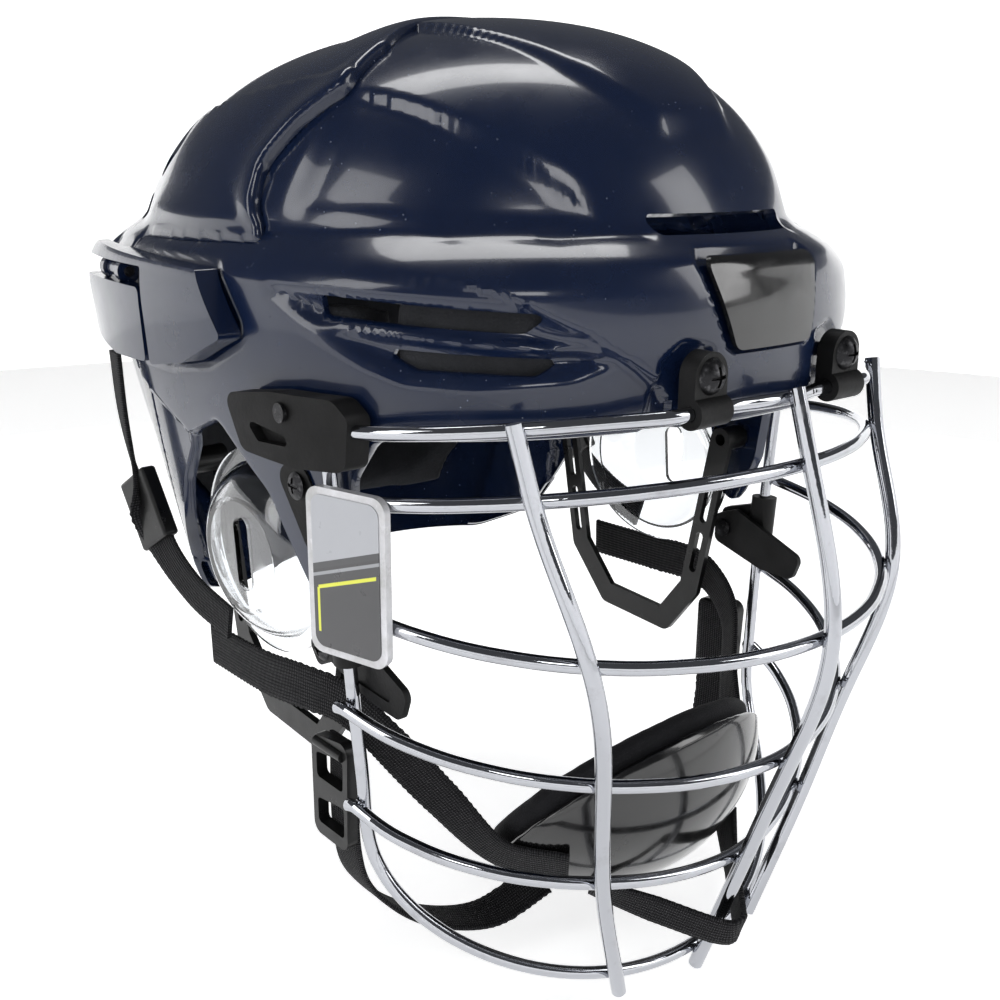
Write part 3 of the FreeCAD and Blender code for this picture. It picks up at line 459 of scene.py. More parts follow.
def build_shells(columns=340, low_rows=62, dome_rows=66):
    grid = shell_grid(columns, low_rows, dome_rows)
    normals = grid_normals(grid)
    rims = {
        "seam": snap_to(grid, rounded_loop(SEAM, 3.0), [1, 2]),
        "side": [snap_to(grid, rounded_loop(*v), [1, 2], on_side) for v in SIDE_VENTS],
        "rear": [snap_to(grid, rounded_loop(*v), [1, 2], on_side) for v in REAR_VENTS],
        "brow": snap_to(grid, rounded_loop(*BROW_SLOT), [0, 2], in_front),
    }
    flat = grid.reshape(-1, 3)
    to_right = np.where(flat[:, :1] > 0, -1.0, 1.0) * np.array([1.0, 0.0, 0.0]) + np.array([0.0, 1.0, 1.0])
    points, directions = flat * to_right, normals.reshape(-1, 3) * to_right
    from_rim = np.linalg.norm(grid - grid[:1], axis=2)

    outer, inner = front_heights(grid, points, directions, rims, from_rim)
    reach = [(y + SIZE_TRAVEL + 14, z + 11) for y, z in SEAM]
    under = loop_distance(flat[:, [1, 2]], rounded_loop(reach, 3.0)).reshape(grid.shape[:2])
    edges = [-under, nearest_edge(*rims["side"]), rims["brow"]]
    front = region_solid("front_shell_moulding", grid, normals, outer, inner, edges)

    outer, inner = rear_heights(grid, points, directions, rims, from_rim)
    edges = [rims["seam"], nearest_edge(*rims["rear"])]
    rear = region_solid("rear_shell_moulding", grid, normals, outer, inner, edges)
    return front, rear


def cut_corners(quads, signs):
    """Triangles left of the quads that an outline crosses from corner to corner."""
    kept = []
    for quad, sign in zip(quads.tolist(), signs.tolist()):
        for k in range(4):
            around = [(k - 1) % 4, k, (k + 1) % 4]
            if sign[k] > 0 and sign[(k + 2) % 4] < 0 and sign[around[0]] == 0 and sign[around[2]] == 0:
                kept.append(tuple(quad[i] for i in around))
    return kept


def offset_points(grid, normals, offset):
    """The grid's points moved out along their normals, with the crown's middle point last."""
    moved = (grid + normals * offset[..., None]).reshape(-1, 3)
    return np.append(moved, [[0, APEX_Y, DOME["crown"] + offset[-1].mean()]], 0)


def region_faces(index, signs):
    """Faces of the grid where the sign is above zero or on its edge, closed at the crown by a fan."""
    a, b = index[:-1], np.roll(index, -1, axis=1)[:-1]
    d, c = index[1:], np.roll(index, -1, axis=1)[1:]
    quads = np.stack([a, b, c, d], -1).reshape(-1, 4)
    corner = signs[quads]
    whole = (corner >= 0).all(1) & (corner > 0).any(1)
    faces = [tuple(q) for q in quads[whole].tolist()] + cut_corners(quads[~whole], corner[~whole])
    kept = signs > 0
    last = index[-1]
    fan = zip(last, np.roll(last, -1))
    return faces + [(int(p), int(q), index.size) for p, q in fan if kept[p] and kept[q]]


def border_edges(faces):
    """Directed edges that only one face has, in the order of the faces."""
    edges = {(p, q): True for face in faces for p, q in zip(face, face[1:] + face[:1])}
    return [(p, q) for p, q in edges if (q, p) not in edges]


def region_solid(name, grid, normals, outer, inner, rims):
    """A closed wall between two offsets of the surface, where every rim distance is above zero."""
    rows, columns = grid.shape[:2]
    index = np.arange(rows * columns).reshape(rows, columns)
    signs = np.min([np.sign(r) for r in rims], axis=0).reshape(-1)
    top = offset_points(grid, normals, outer)
    low = offset_points(grid, normals, inner)
    faces = region_faces(index, signs)
    shift = len(top)
    everything = list(faces)
    everything += [tuple(v + shift for v in reversed(f)) for f in faces]
    everything += [(q, p, p + shift, q + shift) for p, q in border_edges(faces)]
    used = np.unique(np.array([v for f in everything for v in f]))
    renumber = np.full(2 * shift, -1)
    renumber[used] = np.arange(len(used))
    points = np.concatenate([top, low])[used]
    packed = [tuple(int(renumber[v]) for v in f) for f in everything]
    return outward(new_mesh(name, points, packed, 50.0))


# ---------------------------------------------------------------- materials

def material(name, base, roughness=0.5, metallic=0.0, **sockets):
    """A Principled material; returns it with its node tree and its shader."""
    made = bpy.data.materials.new(name)
    made.use_nodes = True
    shader = made.node_tree.nodes["Principled BSDF"]
    shader.inputs["Base Color"].default_value = (*base, 1.0)
    shader.inputs["Roughness"].default_value = roughness
    shader.inputs["Metallic"].default_value = metallic
    for socket, value in sockets.items():
        shader.inputs[socket.replace("_", " ")].default_value = value
    return made, made.node_tree, shader


def add_node(tree, kind, **settings):
    node = tree.nodes.new(kind)
    for key, value in settings.items():
        if key in node.inputs:
            node.inputs[key].default_value = value
        else:
            setattr(node, key, value)
    return node


def object_space(tree):
    return add_node(tree, "ShaderNodeTexCoord").outputs["Object"]


def noise(tree, scale, detail=4.0, roughness=0.55, vector=None):
    node = add_node(tree, "ShaderNodeTexNoise", Scale=scale, Detail=detail, Roughness=roughness)
    tree.links.new(vector or object_space(tree), node.inputs["Vector"])
    return node.outputs["Fac"]


def ramp(tree, source, low, high, low_value, high_value):
    node = add_node(tree, "ShaderNodeMapRange")
    limits = {"From Min": low, "From Max": high, "To Min": low_value, "To Max": high_value}
    for socket, value in limits.items():
        node.inputs[socket].default_value = value
    tree.links.new(source, node.inputs["Value"])
    return node.outputs["Result"]


def colour_mix(tree, factor, first, second):
    node = add_node(tree, "ShaderNodeMix", data_type="RGBA")
    tree.links.new(factor, node.inputs["Factor"])
    for socket, value in (("A", first), ("B", second)):
        target = [i for i in node.inputs if i.name == socket and i.type == "RGBA"][0]
        if isinstance(value, bpy.types.NodeSocket):
            tree.links.new(value, target)
        else:
            target.default_value = (*value, 1.0)
    return [o for o in node.outputs if o.type == "RGBA"][0]


def bump(tree, shader, height, strength, distance):
    node = add_node(tree, "ShaderNodeBump", Strength=strength, Distance=distance)
    tree.links.new(height, node.inputs["Height"])
    tree.links.new(node.outputs["Normal"], shader.inputs["Normal"])
    return node


def math_node(tree, operation, a, b=None):
    node = add_node(tree, "ShaderNodeMath", operation=operation)
    for socket, value in zip(node.inputs, (a, b)):
        if value is None:
            continue
        if isinstance(value, bpy.types.NodeSocket):
            tree.links.new(value, socket)
        else:
            socket.default_value = value
    return node.outputs["Value"]


def navy_gloss():
    """Injection-moulded navy plastic: deep colour, clear gloss, faint sparkle and a little dust."""
    made, tree, shader = material("navy_gloss_plastic", (0.004, 0.010, 0.034), 0.26, Coat_Weight=0.6,
                                  Coat_Roughness=0.07, Specular_IOR_Level=0.35)
    tone = colour_mix(tree, noise(tree, 14.0, 3.0), (0.003, 0.008, 0.028), (0.006, 0.014, 0.044))
    specks = add_node(tree, "ShaderNodeTexVoronoi", Scale=330.0)
    tree.links.new(object_space(tree), specks.inputs["Vector"])
    spot = ramp(tree, specks.outputs["Distance"], 0.045, 0.075, 1.0, 0.0)
    patchy = ramp(tree, noise(tree, 26.0, 2.0), 0.47, 0.60, 0.0, 0.55)
    dust = math_node(tree, "MULTIPLY", spot, patchy)
    tree.links.new(colour_mix(tree, dust, tone, (0.32, 0.35, 0.42)), shader.inputs["Base Color"])
    tree.links.new(ramp(tree, noise(tree, 60.0, 5.0), 0.3, 0.7, 0.17, 0.30), shader.inputs["Roughness"])
    bump(tree, shader, noise(tree, 220.0, 2.0), 0.05, 0.0004)
    return made


def black_plastic(name, tone, rough, grain, coat=0.0, shine=0.5):
    """Moulded plastic with a fine grain, a little worn."""
    made, tree, shader = material(name, (tone, tone, tone * 1.06), rough, Coat_Weight=coat,
                                  Coat_Roughness=0.06, Specular_IOR_Level=shine)
    worn = ramp(tree, noise(tree, 55.0, 6.0, 0.65), 0.35, 0.75, 0.0, 1.0)
    tree.links.new(colour_mix(tree, worn, (tone * 0.8,) * 3, (tone * 1.5, tone * 1.5, tone * 1.6)),
                   shader.inputs["Base Color"])
    tree.links.new(ramp(tree, noise(tree, 130.0, 4.0), 0.3, 0.7, rough - 0.07, rough + 0.10),
                   shader.inputs["Roughness"])
    bump(tree, shader, noise(tree, 900.0, 3.0), grain, 0.0003)
    return made


def chrome():
    """Chrome plate with slight waviness and a few dull spots."""
    bright, hazy = (0.45, 0.46, 0.49), (0.34, 0.34, 0.36)
    made, tree, shader = material("chrome_plate", bright, 0.07, 1.0)
    dull = ramp(tree, noise(tree, 70.0, 6.0, 0.7), 0.55, 0.80, 0.0, 1.0)
    tree.links.new(colour_mix(tree, dull, bright, hazy), shader.inputs["Base Color"])
    tree.links.new(ramp(tree, dull, 0.0, 1.0, 0.06, 0.26), shader.inputs["Roughness"])
    bump(tree, shader, noise(tree, 160.0, 3.0), 0.10, 0.0005)
    return made


def blackened_steel():
    """Blackened steel, worn brighter in places."""
    made, tree, shader = material("blackened_steel", (0.03, 0.03, 0.032), 0.34, 0.85)
    worn = ramp(tree, noise(tree, 400.0, 5.0, 0.7), 0.52, 0.75, 0.0, 1.0)
    tone = colour_mix(tree, worn, (0.022, 0.022, 0.024), (0.13, 0.13, 0.135))
    tree.links.new(tone, shader.inputs["Base Color"])
    tree.links.new(ramp(tree, noise(tree, 500.0, 3.0), 0.3, 0.7, 0.26, 0.46), shader.inputs["Roughness"])
    bump(tree, shader, noise(tree, 1400.0, 2.0), 0.12, 0.0002)
    return made


def foam(name, tone, cell=1500.0):
    """Closed-cell foam with its fine cells and a soft skin."""
    made, tree, shader = material(name, tone, 0.85, Sheen_Weight=0.06, Sheen_Roughness=0.5,
                                  Specular_IOR_Level=0.12)
    cells = add_node(tree, "ShaderNodeTexVoronoi", Scale=cell)
    tree.links.new(object_space(tree), cells.inputs["Vector"])
    darker = tuple(c * 0.6 for c in tone)
    tree.links.new(colour_mix(tree, noise(tree, 90.0, 5.0), darker, tuple(c * 1.5 for c in tone)),
                   shader.inputs["Base Color"])
    tree.links.new(ramp(tree, cells.outputs["Distance"], 0.0, 1.0, 0.72, 0.95), shader.inputs["Roughness"])
    bump(tree, shader, cells.outputs["Distance"], 0.35, 0.0005)
    return made


def knit_lining():
    """Grey knitted lining with two crossing ribs."""
    made, tree, shader = material("grey_knit_lining", (0.15, 0.16, 0.17), 0.9, Sheen_Weight=0.5,
                                  Sheen_Roughness=0.4)
    ribs = [add_node(tree, "ShaderNodeTexWave", Scale=150.0, Distortion=0.6, bands_direction=way)
            for way in ("X", "Z")]
    for rib in ribs:
        tree.links.new(object_space(tree), rib.inputs["Vector"])
    knit = math_node(tree, "MULTIPLY", ribs[0].outputs["Fac"], ribs[1].outputs["Fac"])
    tone = colour_mix(tree, knit, (0.075, 0.08, 0.086), (0.21, 0.22, 0.235))
    tree.links.new(tone, shader.inputs["Base Color"])
    bump(tree, shader, knit, 0.6, 0.0006)
    return made


def webbing():
    """Woven polyester webbing; the UV map runs along and across it in millimetres."""
    made, tree, shader = material("black_webbing", (0.012, 0.012, 0.014), 0.78, Sheen_Weight=0.08,
                                  Sheen_Roughness=0.45, Specular_IOR_Level=0.12)
    place = add_node(tree, "ShaderNodeTexCoord").outputs["UV"]
    weave = []
    for way, scale in (("X", 0.42), ("Y", 0.30)):
        wave = add_node(tree, "ShaderNodeTexWave", Scale=scale, Distortion=0.5, bands_direction=way)
        wave.inputs["Detail Scale"].default_value = 2.0
        tree.links.new(place, wave.inputs["Vector"])
        weave.append(wave.outputs["Fac"])
    pick = math_node(tree, "MULTIPLY", weave[0], weave[1])
    tone = colour_mix(tree, pick, (0.006, 0.006, 0.007), (0.030, 0.030, 0.034))
    tree.links.new(tone, shader.inputs["Base Color"])
    tree.links.new(ramp(tree, noise(tree, 700.0, 3.0), 0.3, 0.7, 0.68, 0.9), shader.inputs["Roughness"])
    bump(tree, shader, pick, 0.9, 0.0006)
    return made


def clear_plastic():
    """Clear polycarbonate, a little scuffed."""
    made, tree, shader = material("clear_polycarbonate", (0.93, 0.95, 0.97), 0.04, Transmission_Weight=1.0,
                                  IOR=1.45, Coat_Weight=0.4)
    scuffs = ramp(tree, noise(tree, 120.0, 6.0, 0.7), 0.45, 0.8, 0.03, 0.16)
    tree.links.new(scuffs, shader.inputs["Roughness"])
    bump(tree, shader, noise(tree, 35.0, 2.0), 0.10, 0.001)
    return made


def printed_label():
    """Two grey fields parted by a slanting dark band, with one bright angled line, and no lettering."""
    made, tree, shader = material("printed_label", (0.5, 0.5, 0.52), 0.32, Coat_Weight=0.5)
    parts = add_node(tree, "ShaderNodeSeparateXYZ")
    tree.links.new(add_node(tree, "ShaderNodeTexCoord").outputs["UV"], parts.inputs[0])
    along, up = parts.outputs[0], parts.outputs[1]
    slant = math_node(tree, "SUBTRACT", up, math_node(tree, "MULTIPLY", along, 0.32))

    def stripe(source, low, high):
        rise = ramp(tree, source, low - 0.1, low, 0.0, 1.0)
        fall = ramp(tree, source, high, high + 0.1, 1.0, 0.0)
        return math_node(tree, "MULTIPLY", rise, fall)

    upper = ramp(tree, slant, 22.0, 22.15, 0.0, 1.0)
    field = colour_mix(tree, upper, (0.042, 0.042, 0.046), (0.40, 0.41, 0.44))
    field = colour_mix(tree, stripe(slant, 20.2, 21.0), field, (0.30, 0.31, 0.33))
    field = colour_mix(tree, stripe(slant, 22.0, 23.6), field, (0.05, 0.05, 0.055))
    angle = math_node(tree, "MULTIPLY", stripe(slant, 16.6, 17.5), stripe(along, 3.6, 23.0))
    drop = math_node(tree, "MULTIPLY", stripe(along, 3.2, 3.9), stripe(up, 6.0, 18.0))
    field = colour_mix(tree, math_node(tree, "MAXIMUM", angle, drop), field, (0.72, 0.74, 0.05))
    tree.links.new(field, shader.inputs["Base Color"])
    tree.links.new(ramp(tree, noise(tree, 200.0, 3.0), 0.3, 0.7, 0.26, 0.40), shader.inputs["Roughness"])
    bump(tree, shader, noise(tree, 300.0, 2.0), 0.04, 0.0003)
    return made


NAVY = navy_gloss()
MATTE = black_plastic("black_matte_plastic", 0.008, 0.50, 0.25, 0.0, 0.16)
SATIN = black_plastic("black_satin_plastic", 0.006, 0.32, 0.08, 0.1, 0.25)
GLOSS = black_plastic("black_gloss_plastic", 0.005, 0.18, 0.03, 0.6)
CHROME = chrome()
STEEL = blackened_steel()
FOAM = foam("dark_foam", (0.020, 0.021, 0.024))
CUP_FOAM = foam("black_cup_foam", (0.014, 0.014, 0.016), 2200.0)
LINING = knit_lining()
WEBBING = webbing()
CLEAR = clear_plastic()
LABEL = printed_label()
WHITE = black_plastic("white_rim_plastic", 0.52, 0.22, 0.05, 0.8)


# ---------------------------------------------------------------- pieces carried over from the CAD

def dress_cad(name, finish, bevel_mm=0.0):
    """A CAD node keeps its shape and gets a finish, and a small rounding of its sharp edges."""
    obj = nodes[name]
    obj.data.materials.clear()
    obj.data.materials.append(finish)
    obj.data.shade_smooth()
    obj.data.set_sharp_from_angle(angle=math.radians(35.0))
    if bevel_mm:
        rounding = obj.modifiers.new("edge_rounding", "BEVEL")
        rounding.width = bevel_mm * MM
        rounding.segments = 2
        rounding.limit_method = "ANGLE"
        rounding.angle_limit = math.radians(40.0)


def both(stem):
    return ["%s_%s" % (stem, side) for side in ("right", "left")]


for name in ["brow_bar", "eye_bar_upper", "eye_bar_lower", "mouth_bar_upper", "mouth_bar_lower", "side_frame",
             "upright_right", "upright_centre", "upright_left"]:
    dress_cad(name, CHROME)
for name in ["side_screws", "jclip_screws", "bumper_rivets", "snap_studs"] + both("latch_pin"):
    dress_cad(name, STEEL, 0.15)
for name in both("jclip") + both("side_bumper") + both("slot_plate") + both("snap_tab") + both("snap_loop"):
    dress_cad(name, MATTE, 0.35)
for name in both("ear_loop") + both("ladder_lock") + both("rear_strap_tab"):
    dress_cad(name, SATIN, 0.3)
for name in both("latch_base") + both("latch_flap"):
    dress_cad(name, NAVY, 0.5)
for name in both("ear_guard"):
    dress_cad(name, CLEAR)
dress_cad("brow_plate", GLOSS, 0.4)
dress_cad("label_plate", WHITE, 0.5)

front_moulding, rear_moulding = build_shells()
finish_piece(front_moulding, "helmet", NAVY, ["front_shell"])
finish_piece(rear_moulding, "rear", NAVY, ["rear_shell"])


# ---------------------------------------------------------------- printed face of the label plate

LABEL_WIDTH, LABEL_HEIGHT = 26, 45
LABEL_CORNER = np.array([-100.6, -41.5, 32.5])
LABEL_HEADING = math.atan2(-25.0, 6.5)
LABEL_INSET = 1.9
LABEL_THICKNESS = 0.22


def label_face():
    """The print on the plate's outer side; its UV map is in millimetres across and up."""
    along = np.array([math.cos(LABEL_HEADING), math.sin(LABEL_HEADING), 0.0])
    out = np.array([math.sin(LABEL_HEADING), -math.cos(LABEL_HEADING), 0.0])
    right, top = LABEL_WIDTH - LABEL_INSET, LABEL_HEIGHT - LABEL_INSET
    corners = [(LABEL_INSET, LABEL_INSET), (right, LABEL_INSET), (right, top), (LABEL_INSET, top)]
    outline = rounded_loop(corners, 3.2, 0.4)
    base = LABEL_CORNER + out * 0.02 - np.array([0.0, 0.0, LABEL_HEIGHT])
    ring = [base + along * u + np.array([0.0, 0.0, v]) for u, v in outline]
    raised = [p + out * LABEL_THICKNESS for p in ring]
    count = len(ring)
    faces = [(i, (i + 1) % count, count + (i + 1) % count, count + i) for i in range(count)]
    faces += [tuple(range(count, 2 * count)), tuple(reversed(range(count)))]
    face = outward(new_mesh("label_print", ring + raised, faces, 30.0))
    places = face.data.uv_layers.new(name="millimetres")
    flat = [tuple(uv) for uv in outline] * 2
    for loop in face.data.loops:
        places.data[loop.index].uv = flat[loop.vertex_index]
    finish_piece(face, "cage", LABEL, ())


# ---------------------------------------------------------------- webbing

def smooth_route(corners, widths, step=1.0):
    """A smooth curve through the corners, sampled every step, with the width directions along it."""
    corners = np.asarray(corners, float)
    widths = np.asarray(widths, float)
    padded = np.concatenate([[2 * corners[0] - corners[1]], corners, [2 * corners[-1] - corners[-2]]])
    points, directions = [], []
    for i in range(len(corners) - 1):
        p0, p1, p2, p3 = padded[i:i + 4]
        count = max(int(np.linalg.norm(p2 - p1) / step), 2)
        for k in range(count + (i == len(corners) - 2)):
            s = k / count
            tangents = 0.5 * (p2 - p0), 0.5 * (p3 - p1)
            h = (2 * s ** 3 - 3 * s * s + 1, s ** 3 - 2 * s * s + s, -2 * s ** 3 + 3 * s * s, s ** 3 - s * s)
            points.append(h[0] * p1 + h[1] * tangents[0] + h[2] * p2 + h[3] * tangents[1])
            directions.append(mix(widths[i], widths[i + 1], s))
    return np.array(points), np.array(directions)


SELVEDGE_TOOTH, TOOTH_PITCH = 0.22, 1.05
STRAP_SHARES = np.array([-1.0, -0.93, -0.6, -0.2, 0.2, 0.6, 0.93, 1.0])
STRAP_SWELL = np.array([0.35, 0.9, 1.0, 0.95, 0.95, 1.0, 0.9, 0.35])


def strap(name, corners, widths, width, thick):
    """Flat webbing with toothed selvedges along a route; its UV map is in millimetres."""
    points, directions = smooth_route(corners, widths)
    run = unit(np.gradient(points, axis=0))
    face = unit(np.cross(run, directions))
    across = unit(np.cross(face, run))
    length = np.concatenate([[0.0], np.cumsum(np.linalg.norm(np.diff(points, axis=0), axis=1))])
    teeth = SELVEDGE_TOOTH * np.sign(np.sin(length * math.pi / TOOTH_PITCH))
    top, low = [], []
    for share, half in zip(STRAP_SHARES, STRAP_SWELL * thick / 2.0):
        reach = share * (width / 2.0) + np.where(abs(share) == 1.0, np.sign(share) * teeth, 0.0)
        middle = points + across * reach[:, None]
        top.append(middle + face * half)
        low.append(middle - face * half)
    rings = np.array(top + low[::-1])
    sides, count = rings.shape[:2]
    verts = rings.transpose(1, 0, 2).reshape(-1, 3)
    faces = ring_faces(count, sides)
    faces += [tuple(range(sides)), tuple((count - 1) * sides + k for k in reversed(range(sides)))]
    piece = outward(new_mesh(name, verts, faces, 60.0))
    layer = piece.data.uv_layers.new(name="millimetres")
    place = np.concatenate([STRAP_SHARES, STRAP_SHARES[::-1]]) * width / 2.0
    for loop in piece.data.loops:
        i, k = divmod(loop.vertex_index, sides)
        layer.data[loop.index].uv = (length[i], place[k])
    return piece


def on_cup(x, y, out=1.5):
    """A place under the chin cup, out from its outer face."""
    offset = np.array([x, y - CUP_MIDDLE[1], 0.0])
    offset[2] = -CUP_RADII[2] * math.sqrt(1.0 - ((offset / CUP_RADII) ** 2).sum())
    return tuple(CUP_MIDDLE + offset + unit(offset / CUP_RADII ** 2) * out)


WEBBING_THICKNESS = 1.6


def build_straps():
    """The chin and rear straps on both sides, then the strap that joins the chin cup to the cage's front."""
    upper = [(-88, 40, -41), (-88, 8, -40), (-86, -12, -38.5), (-81.5, -27, -40), (-76, -40, -49),
             (-65, -50, -66), on_cup(-52, -62), on_cup(-40, -78)]
    lower = [(-83, -28, -50), (-83, -28, -84), (-78, -30, -100), (-64, -36, -113), (-44, -44, -118),
             on_cup(-24, -50)]
    rear = [(-98.8, 74, 51), (-98.2, 73, 30), (-96.4, 70, 10), (-95.5, 58, -9), (-94, 40, -21),
            (-92, 20, -27)]
    upper_turns = spread((0, 0, 1), (0.2, -0.55, 0.8), 6) + [(-0.28, -0.33, 0.9)] * 2
    rear_turns = spread((0.2, 1, 0), (0, -0.5, 0.85), len(rear))
    routes = [("upper_strap", "cage", upper, upper_turns, 14.0),
              ("lower_strap", "cage", lower, [(0, 1, 0)] * len(lower), 14.0),
              ("rear_strap", "helmet", rear, rear_turns, 12.0)]
    for stem, body, route, turns, width in routes:
        for side, word in SIDE_WORDS.items():
            flip = np.array([-side, 1.0, 1.0])
            piece = strap("%s_webbing_%s" % (stem, word), np.array(route) * flip, np.array(turns) * flip,
                          width, WEBBING_THICKNESS)
            finish_piece(piece, body, WEBBING, ["%s_%s" % (stem, word)])
    half = [on_cup(-30, -78), (-18, -92, -102), (-5, -106, -108)]
    route = half + [(0, -109.2, -108)] + [(-x, y, z) for x, y, z in half[::-1]]
    turns = [(-0.16, -0.53, 0.65)] + [(0, -0.3, 0.95)] * 5 + [(0.16, -0.53, 0.65)]
    front = strap("front_strap_webbing", route, turns, 10.0, WEBBING_THICKNESS)
    finish_piece(front, "cage", WEBBING, ["front_strap"])


def spread(first, last, count):
    """count directions turning evenly from first to last."""
    return [tuple(mix(np.array(first, float), np.array(last, float), i / (count - 1))) for i in range(count)]


# ---------------------------------------------------------------- chin cup

CUP_MIDDLE = np.array([0.0, -50.0, -68.0])
CUP_RADII = np.array([57.0, 46.0, 45.0])
CUP_TRIM = np.array([0.0, -68.5, -85.0])
CUP_UP = np.array([0.0, 0.755, 0.656])


def cup_surface(depth, raised, rows, columns):
    """Points from the cup's bottom to its trim plane, on the ellipsoid depth below its outer face."""
    radii = CUP_RADII - depth
    sideways = np.array([1.0, 0.0, 0.0])
    forward = np.cross(CUP_UP, sideways)
    plane = CUP_TRIM + CUP_UP * raised
    angles = np.linspace(0.0, 2.0 * math.pi, columns, endpoint=False)
    table = np.linspace(0.0, math.pi, 700)
    turn = sideways * np.cos(angles)[:, None] + forward * np.sin(angles)[:, None]
    rays = -CUP_UP * np.cos(table)[:, None, None] + turn * np.sin(table)[:, None, None]
    rays /= np.sqrt((rays ** 2 / radii ** 2).sum(-1, keepdims=True))
    height = (rays + CUP_MIDDLE - plane) @ CUP_UP
    limit = np.array([table[np.argmax(height[:, k] > 0)] for k in range(columns)])
    share = np.linspace(0.02, 1.0, rows)[:, None]
    polar = share * limit
    rays = -CUP_UP * np.cos(polar)[..., None] + turn * np.sin(polar)[..., None]
    rays /= np.sqrt((rays ** 2 / radii ** 2).sum(-1, keepdims=True))
    return rays + CUP_MIDDLE


def cup_layer(name, outer_depth, inner_depth, raised, rows=26, columns=128):
    """A bowl between two depths with a rolled rim."""
    outer = cup_surface(outer_depth, raised, rows, columns)
    inner = cup_surface(inner_depth, raised, rows, columns)
    middle, half = (outer[-1] + inner[-1]) / 2.0, (outer[-1] - inner[-1]) / 2.0
    reach = np.linalg.norm(half, axis=1, keepdims=True) * CUP_UP
    roll = [middle + half * math.cos(t) + reach * math.sin(t) for t in np.linspace(0.0, math.pi, 9)[1:-1]]
    rings = np.concatenate([outer, np.array(roll), inner[::-1]])
    count = len(rings)
    verts = list(rings.reshape(-1, 3)) + [outer[0].mean(0), inner[0].mean(0)]
    faces = ring_faces(count, columns)
    for k in range(columns):
        after = (k + 1) % columns
        faces.append((k, after, count * columns))
        faces.append(((count - 1) * columns + k, (count - 1) * columns + after, count * columns + 1))
    return outward(new_mesh(name, verts, faces, 60.0))


def build_chin_cup():
    """The cup's hard shell, the cushion inside it and the knit that lines the cushion."""
    shell = cup_layer("chin_cup_moulding", 0.0, 2.6, 5.0)
    finish_piece(shell, "cage", GLOSS, ["chin_cup_shell"])
    pad = cup_layer("chin_cup_cushion", 2.9, 10.6, 10.0)
    swell = bpy.data.textures.new("cup_cushion_swell", "CLOUDS")
    swell.noise_scale = 0.03
    wave = pad.modifiers.new("swell", "DISPLACE")
    wave.texture = swell
    wave.strength = 0.0012
    wave.mid_level = 0.9
    finish_piece(pad, "cage", CUP_FOAM, ["chin_cup_pad"])
    lining = cup_layer("chin_cup_lining_knit", 10.9, 12.9, 8.0)
    finish_piece(lining, "cage", LINING, ["chin_cup_lining"])


# ---------------------------------------------------------------- padding

PADS = {"front_pad": "helmet", "crown_pad": "helmet", "side_pad_right": "helmet", "side_pad_left": "helmet",
        "rear_pad": "rear", "rear_crown_pad": "rear", "occipital_pad": "rear"}
PAD_START = 6.6
PAD_SWELL = 1.3
HEAD_MIDDLE = np.array([0.0, 15.0, 40.0])


def depth_below_shell(points):
    """How deep each point lies under the outer face of the bare shell, in millimetres."""
    deepest = 20.0
    depth = np.full(len(points), deepest)
    for grow in np.linspace(-deepest, 1.0, 85):
        half, front, back, middle, power = shell_slice(points[:, 2], grow)
        reach = np.where(points[:, 1] > middle, back - middle, middle - front)
        sideways = (np.abs(points[:, 0]) / half) ** power
        out = sideways + (np.abs(points[:, 1] - middle) / reach) ** power > 1.0
        out |= points[:, 2] > DOME["crown"] + grow
        depth = np.where(out, -grow, depth)
    return depth


def swollen_pad(node_name, body):
    """A foam pad: the CAD solid's form, kept clear of the shell's relief, with slightly crowned faces."""
    source = nodes[node_name]
    pad = bpy.data.objects.new(node_name + "_foam", source.data.copy())
    pad.matrix_world = source.matrix_world.copy()
    bpy.context.scene.collection.objects.link(pad)
    pad.modifiers.clear()
    apply_modifier(pad, "REMESH", mode="VOXEL", voxel_size=0.0024)
    mesh = pad.data
    points = np.array([tuple(v.co) for v in mesh.vertices]) / MM
    depth = depth_below_shell(points)
    move = np.clip(PAD_START - depth, 0.0, None)
    points = points + unit(HEAD_MIDDLE - points) * move[:, None]
    mesh.vertices.foreach_set("co", (points * MM).ravel())
    mesh.update()
    apply_modifier(pad, "SMOOTH", factor=0.5, iterations=3)
    inflate(pad, PAD_SWELL)
    pad.data.shade_smooth()
    finish_piece(pad, body, FOAM, [node_name])


def apply_modifier(obj, kind, **settings):
    """Adds a modifier and keeps its result as the object's mesh."""
    change = obj.modifiers.new("working", kind)
    for key, value in settings.items():
        setattr(change, key, value)
    graph = bpy.context.evaluated_depsgraph_get()
    made = bpy.data.meshes.new_from_object(obj.evaluated_get(graph))
    obj.modifiers.clear()
    obj.data = made


def inflate(obj, most_mm):
    """Cloth under pressure, with every point held within most_mm of where it began."""
    scene = bpy.context.scene
    before = np.array([tuple(v.co) for v in obj.data.vertices])
    cloth = obj.modifiers.new("skin", "CLOTH")
    cloth.settings.use_pressure = True
    cloth.settings.uniform_pressure_force = 4.0
    cloth.settings.effector_weights.gravity = 0.0
    for moment in range(1, 21):
        scene.frame_set(moment)
    graph = bpy.context.evaluated_depsgraph_get()
    after = np.array([tuple(v.co) for v in obj.evaluated_get(graph).data.vertices])
    obj.modifiers.clear()
    move = after - before
    size = np.linalg.norm(move, axis=1, keepdims=True)
    move *= np.minimum(1.0, most_mm * MM / np.maximum(size, 1e-9))
    obj.data.vertices.foreach_set("co", (before + move).ravel())
    obj.data.update()
    scene.frame_set(1)


label_face()
build_straps()
build_chin_cup()
for pad_name, pad_body in PADS.items():
    swollen_pad(pad_name, pad_body)


# ---------------------------------------------------------------- studio

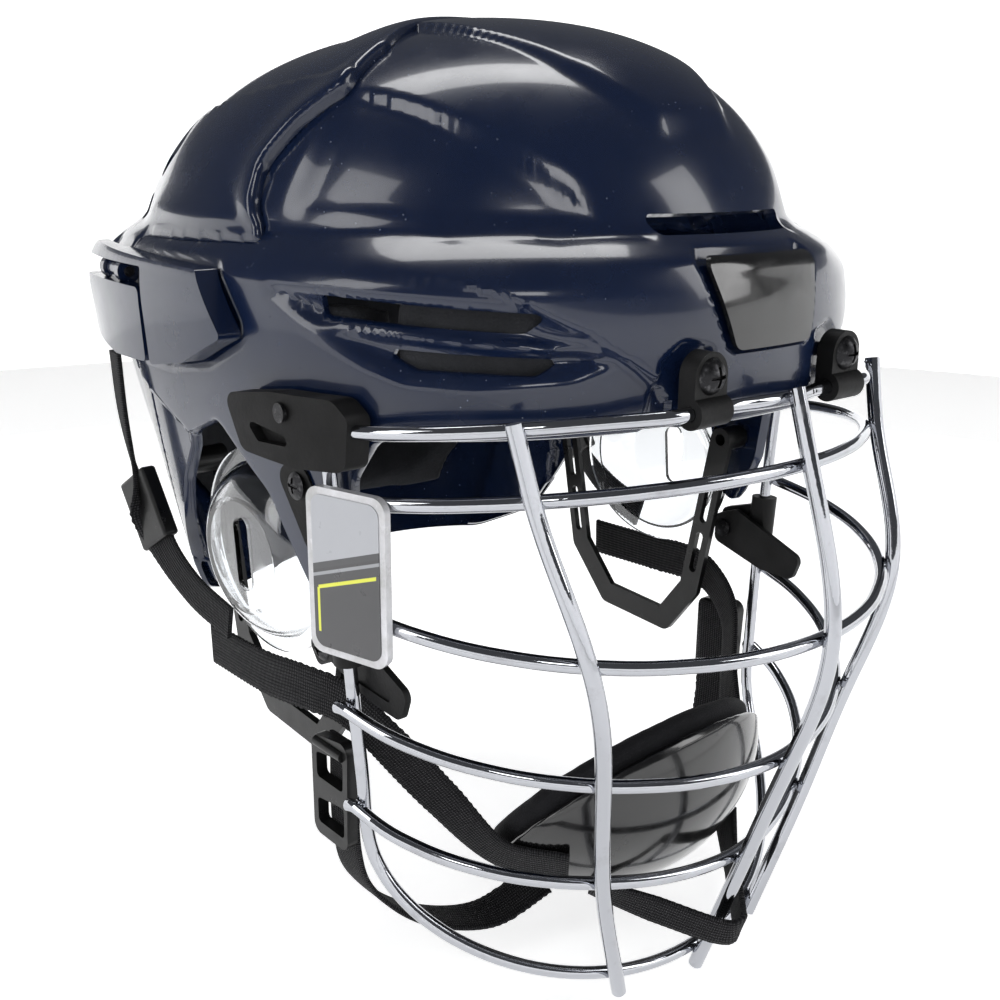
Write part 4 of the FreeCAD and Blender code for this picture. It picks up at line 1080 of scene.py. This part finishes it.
# The camera looks along -BACK, with ACROSS to its right and UP above; places are in metres.
CAMERA_PLACE = Vector((-0.253346, -0.294790, 0.114262))
BACK = Vector((-0.62532421, -0.72761928, 0.28202805))
ACROSS = Vector((0.75956203, -0.65040612, 0.0061146))
UP = Vector((0.17898367, 0.21804141, 0.95938667))


def build_camera():
    data = bpy.data.cameras.new("camera")
    data.sensor_width = 36.0
    data.lens = 43.2
    data.clip_start = 0.01
    data.clip_end = 20.0
    camera = bpy.data.objects.new("camera", data)
    turn = Matrix((ACROSS, UP, BACK)).transposed().to_4x4()
    camera.matrix_world = Matrix.Translation(CAMERA_PLACE) @ turn
    bpy.context.scene.collection.objects.link(camera)
    bpy.context.scene.camera = camera


def area_light(name, place, target, size, power):
    data = bpy.data.lights.new(name, "AREA")
    data.shape = "RECTANGLE"
    data.size, data.size_y = size
    data.energy = power
    light = bpy.data.objects.new(name, data)
    light.location = place
    aim = Vector(target) - Vector(place)
    light.rotation_euler = aim.to_track_quat("-Z", "Y").to_euler()
    bpy.context.scene.collection.objects.link(light)


FLOOR_RADIUS, BEND_RADIUS, WALL_HEIGHT = 1100.0, 400.0, 460.0


def backdrop_bowl():
    """A white floor that curves up all round into a low wall."""
    low = cad_box[0][2] / MM - 1.0
    profile = [(FLOOR_RADIUS + BEND_RADIUS * math.sin(t), BEND_RADIUS - BEND_RADIUS * math.cos(t))
               for t in np.linspace(0.0, math.pi / 2, 14)]
    profile.append((FLOOR_RADIUS + BEND_RADIUS, WALL_HEIGHT))
    turns = np.linspace(0.0, 2.0 * math.pi, 97)[:-1]
    points = [(r * math.cos(t), r * math.sin(t), low + h) for r, h in profile for t in turns]
    points.append((0.0, 0.0, low))
    count = len(turns)
    faces = [(k, (k + 1) % count, len(points) - 1) for k in range(count)]
    faces += ring_faces(len(profile), count)
    bowl = new_mesh("backdrop", points, faces, 180.0)
    pale, tree, shader = material("pale_backdrop", (0.93, 0.93, 0.93), 0.75, Emission_Strength=0.66)
    shader.inputs["Emission Color"].default_value = (1.0, 1.0, 1.0, 1.0)
    tree.links.new(ramp(tree, noise(tree, 3.0), 0.0, 1.0, 0.7, 0.8), shader.inputs["Roughness"])
    bowl.data.materials.append(pale)


def build_studio():
    world = bpy.data.worlds.new("studio")
    bpy.context.scene.world = world
    world.use_nodes = True
    sky = world.node_tree.nodes["Background"]
    sky.inputs["Color"].default_value = (0.90, 0.93, 1.0, 1.0)
    sky.inputs["Strength"].default_value = 0.10
    bpy.context.scene.view_settings.view_transform = "Standard"
    middle = (0.0, 0.0, 0.03)
    area_light("softbox_right_side", (-1.25, 0.30, 0.75), middle, (0.5, 0.9), 5.5)
    area_light("softbox_left_side", (0.75, -1.1, 0.75), middle, (0.5, 0.8), 5.0)
    area_light("softbox_top", (0.25, 0.45, 1.4), middle, (1.0, 0.35), 6.5)
    area_light("softbox_camera", (-0.9, -1.1, 1.0), middle, (0.35, 0.35), 2.2)
    backdrop_bowl()


build_camera()
build_studio()
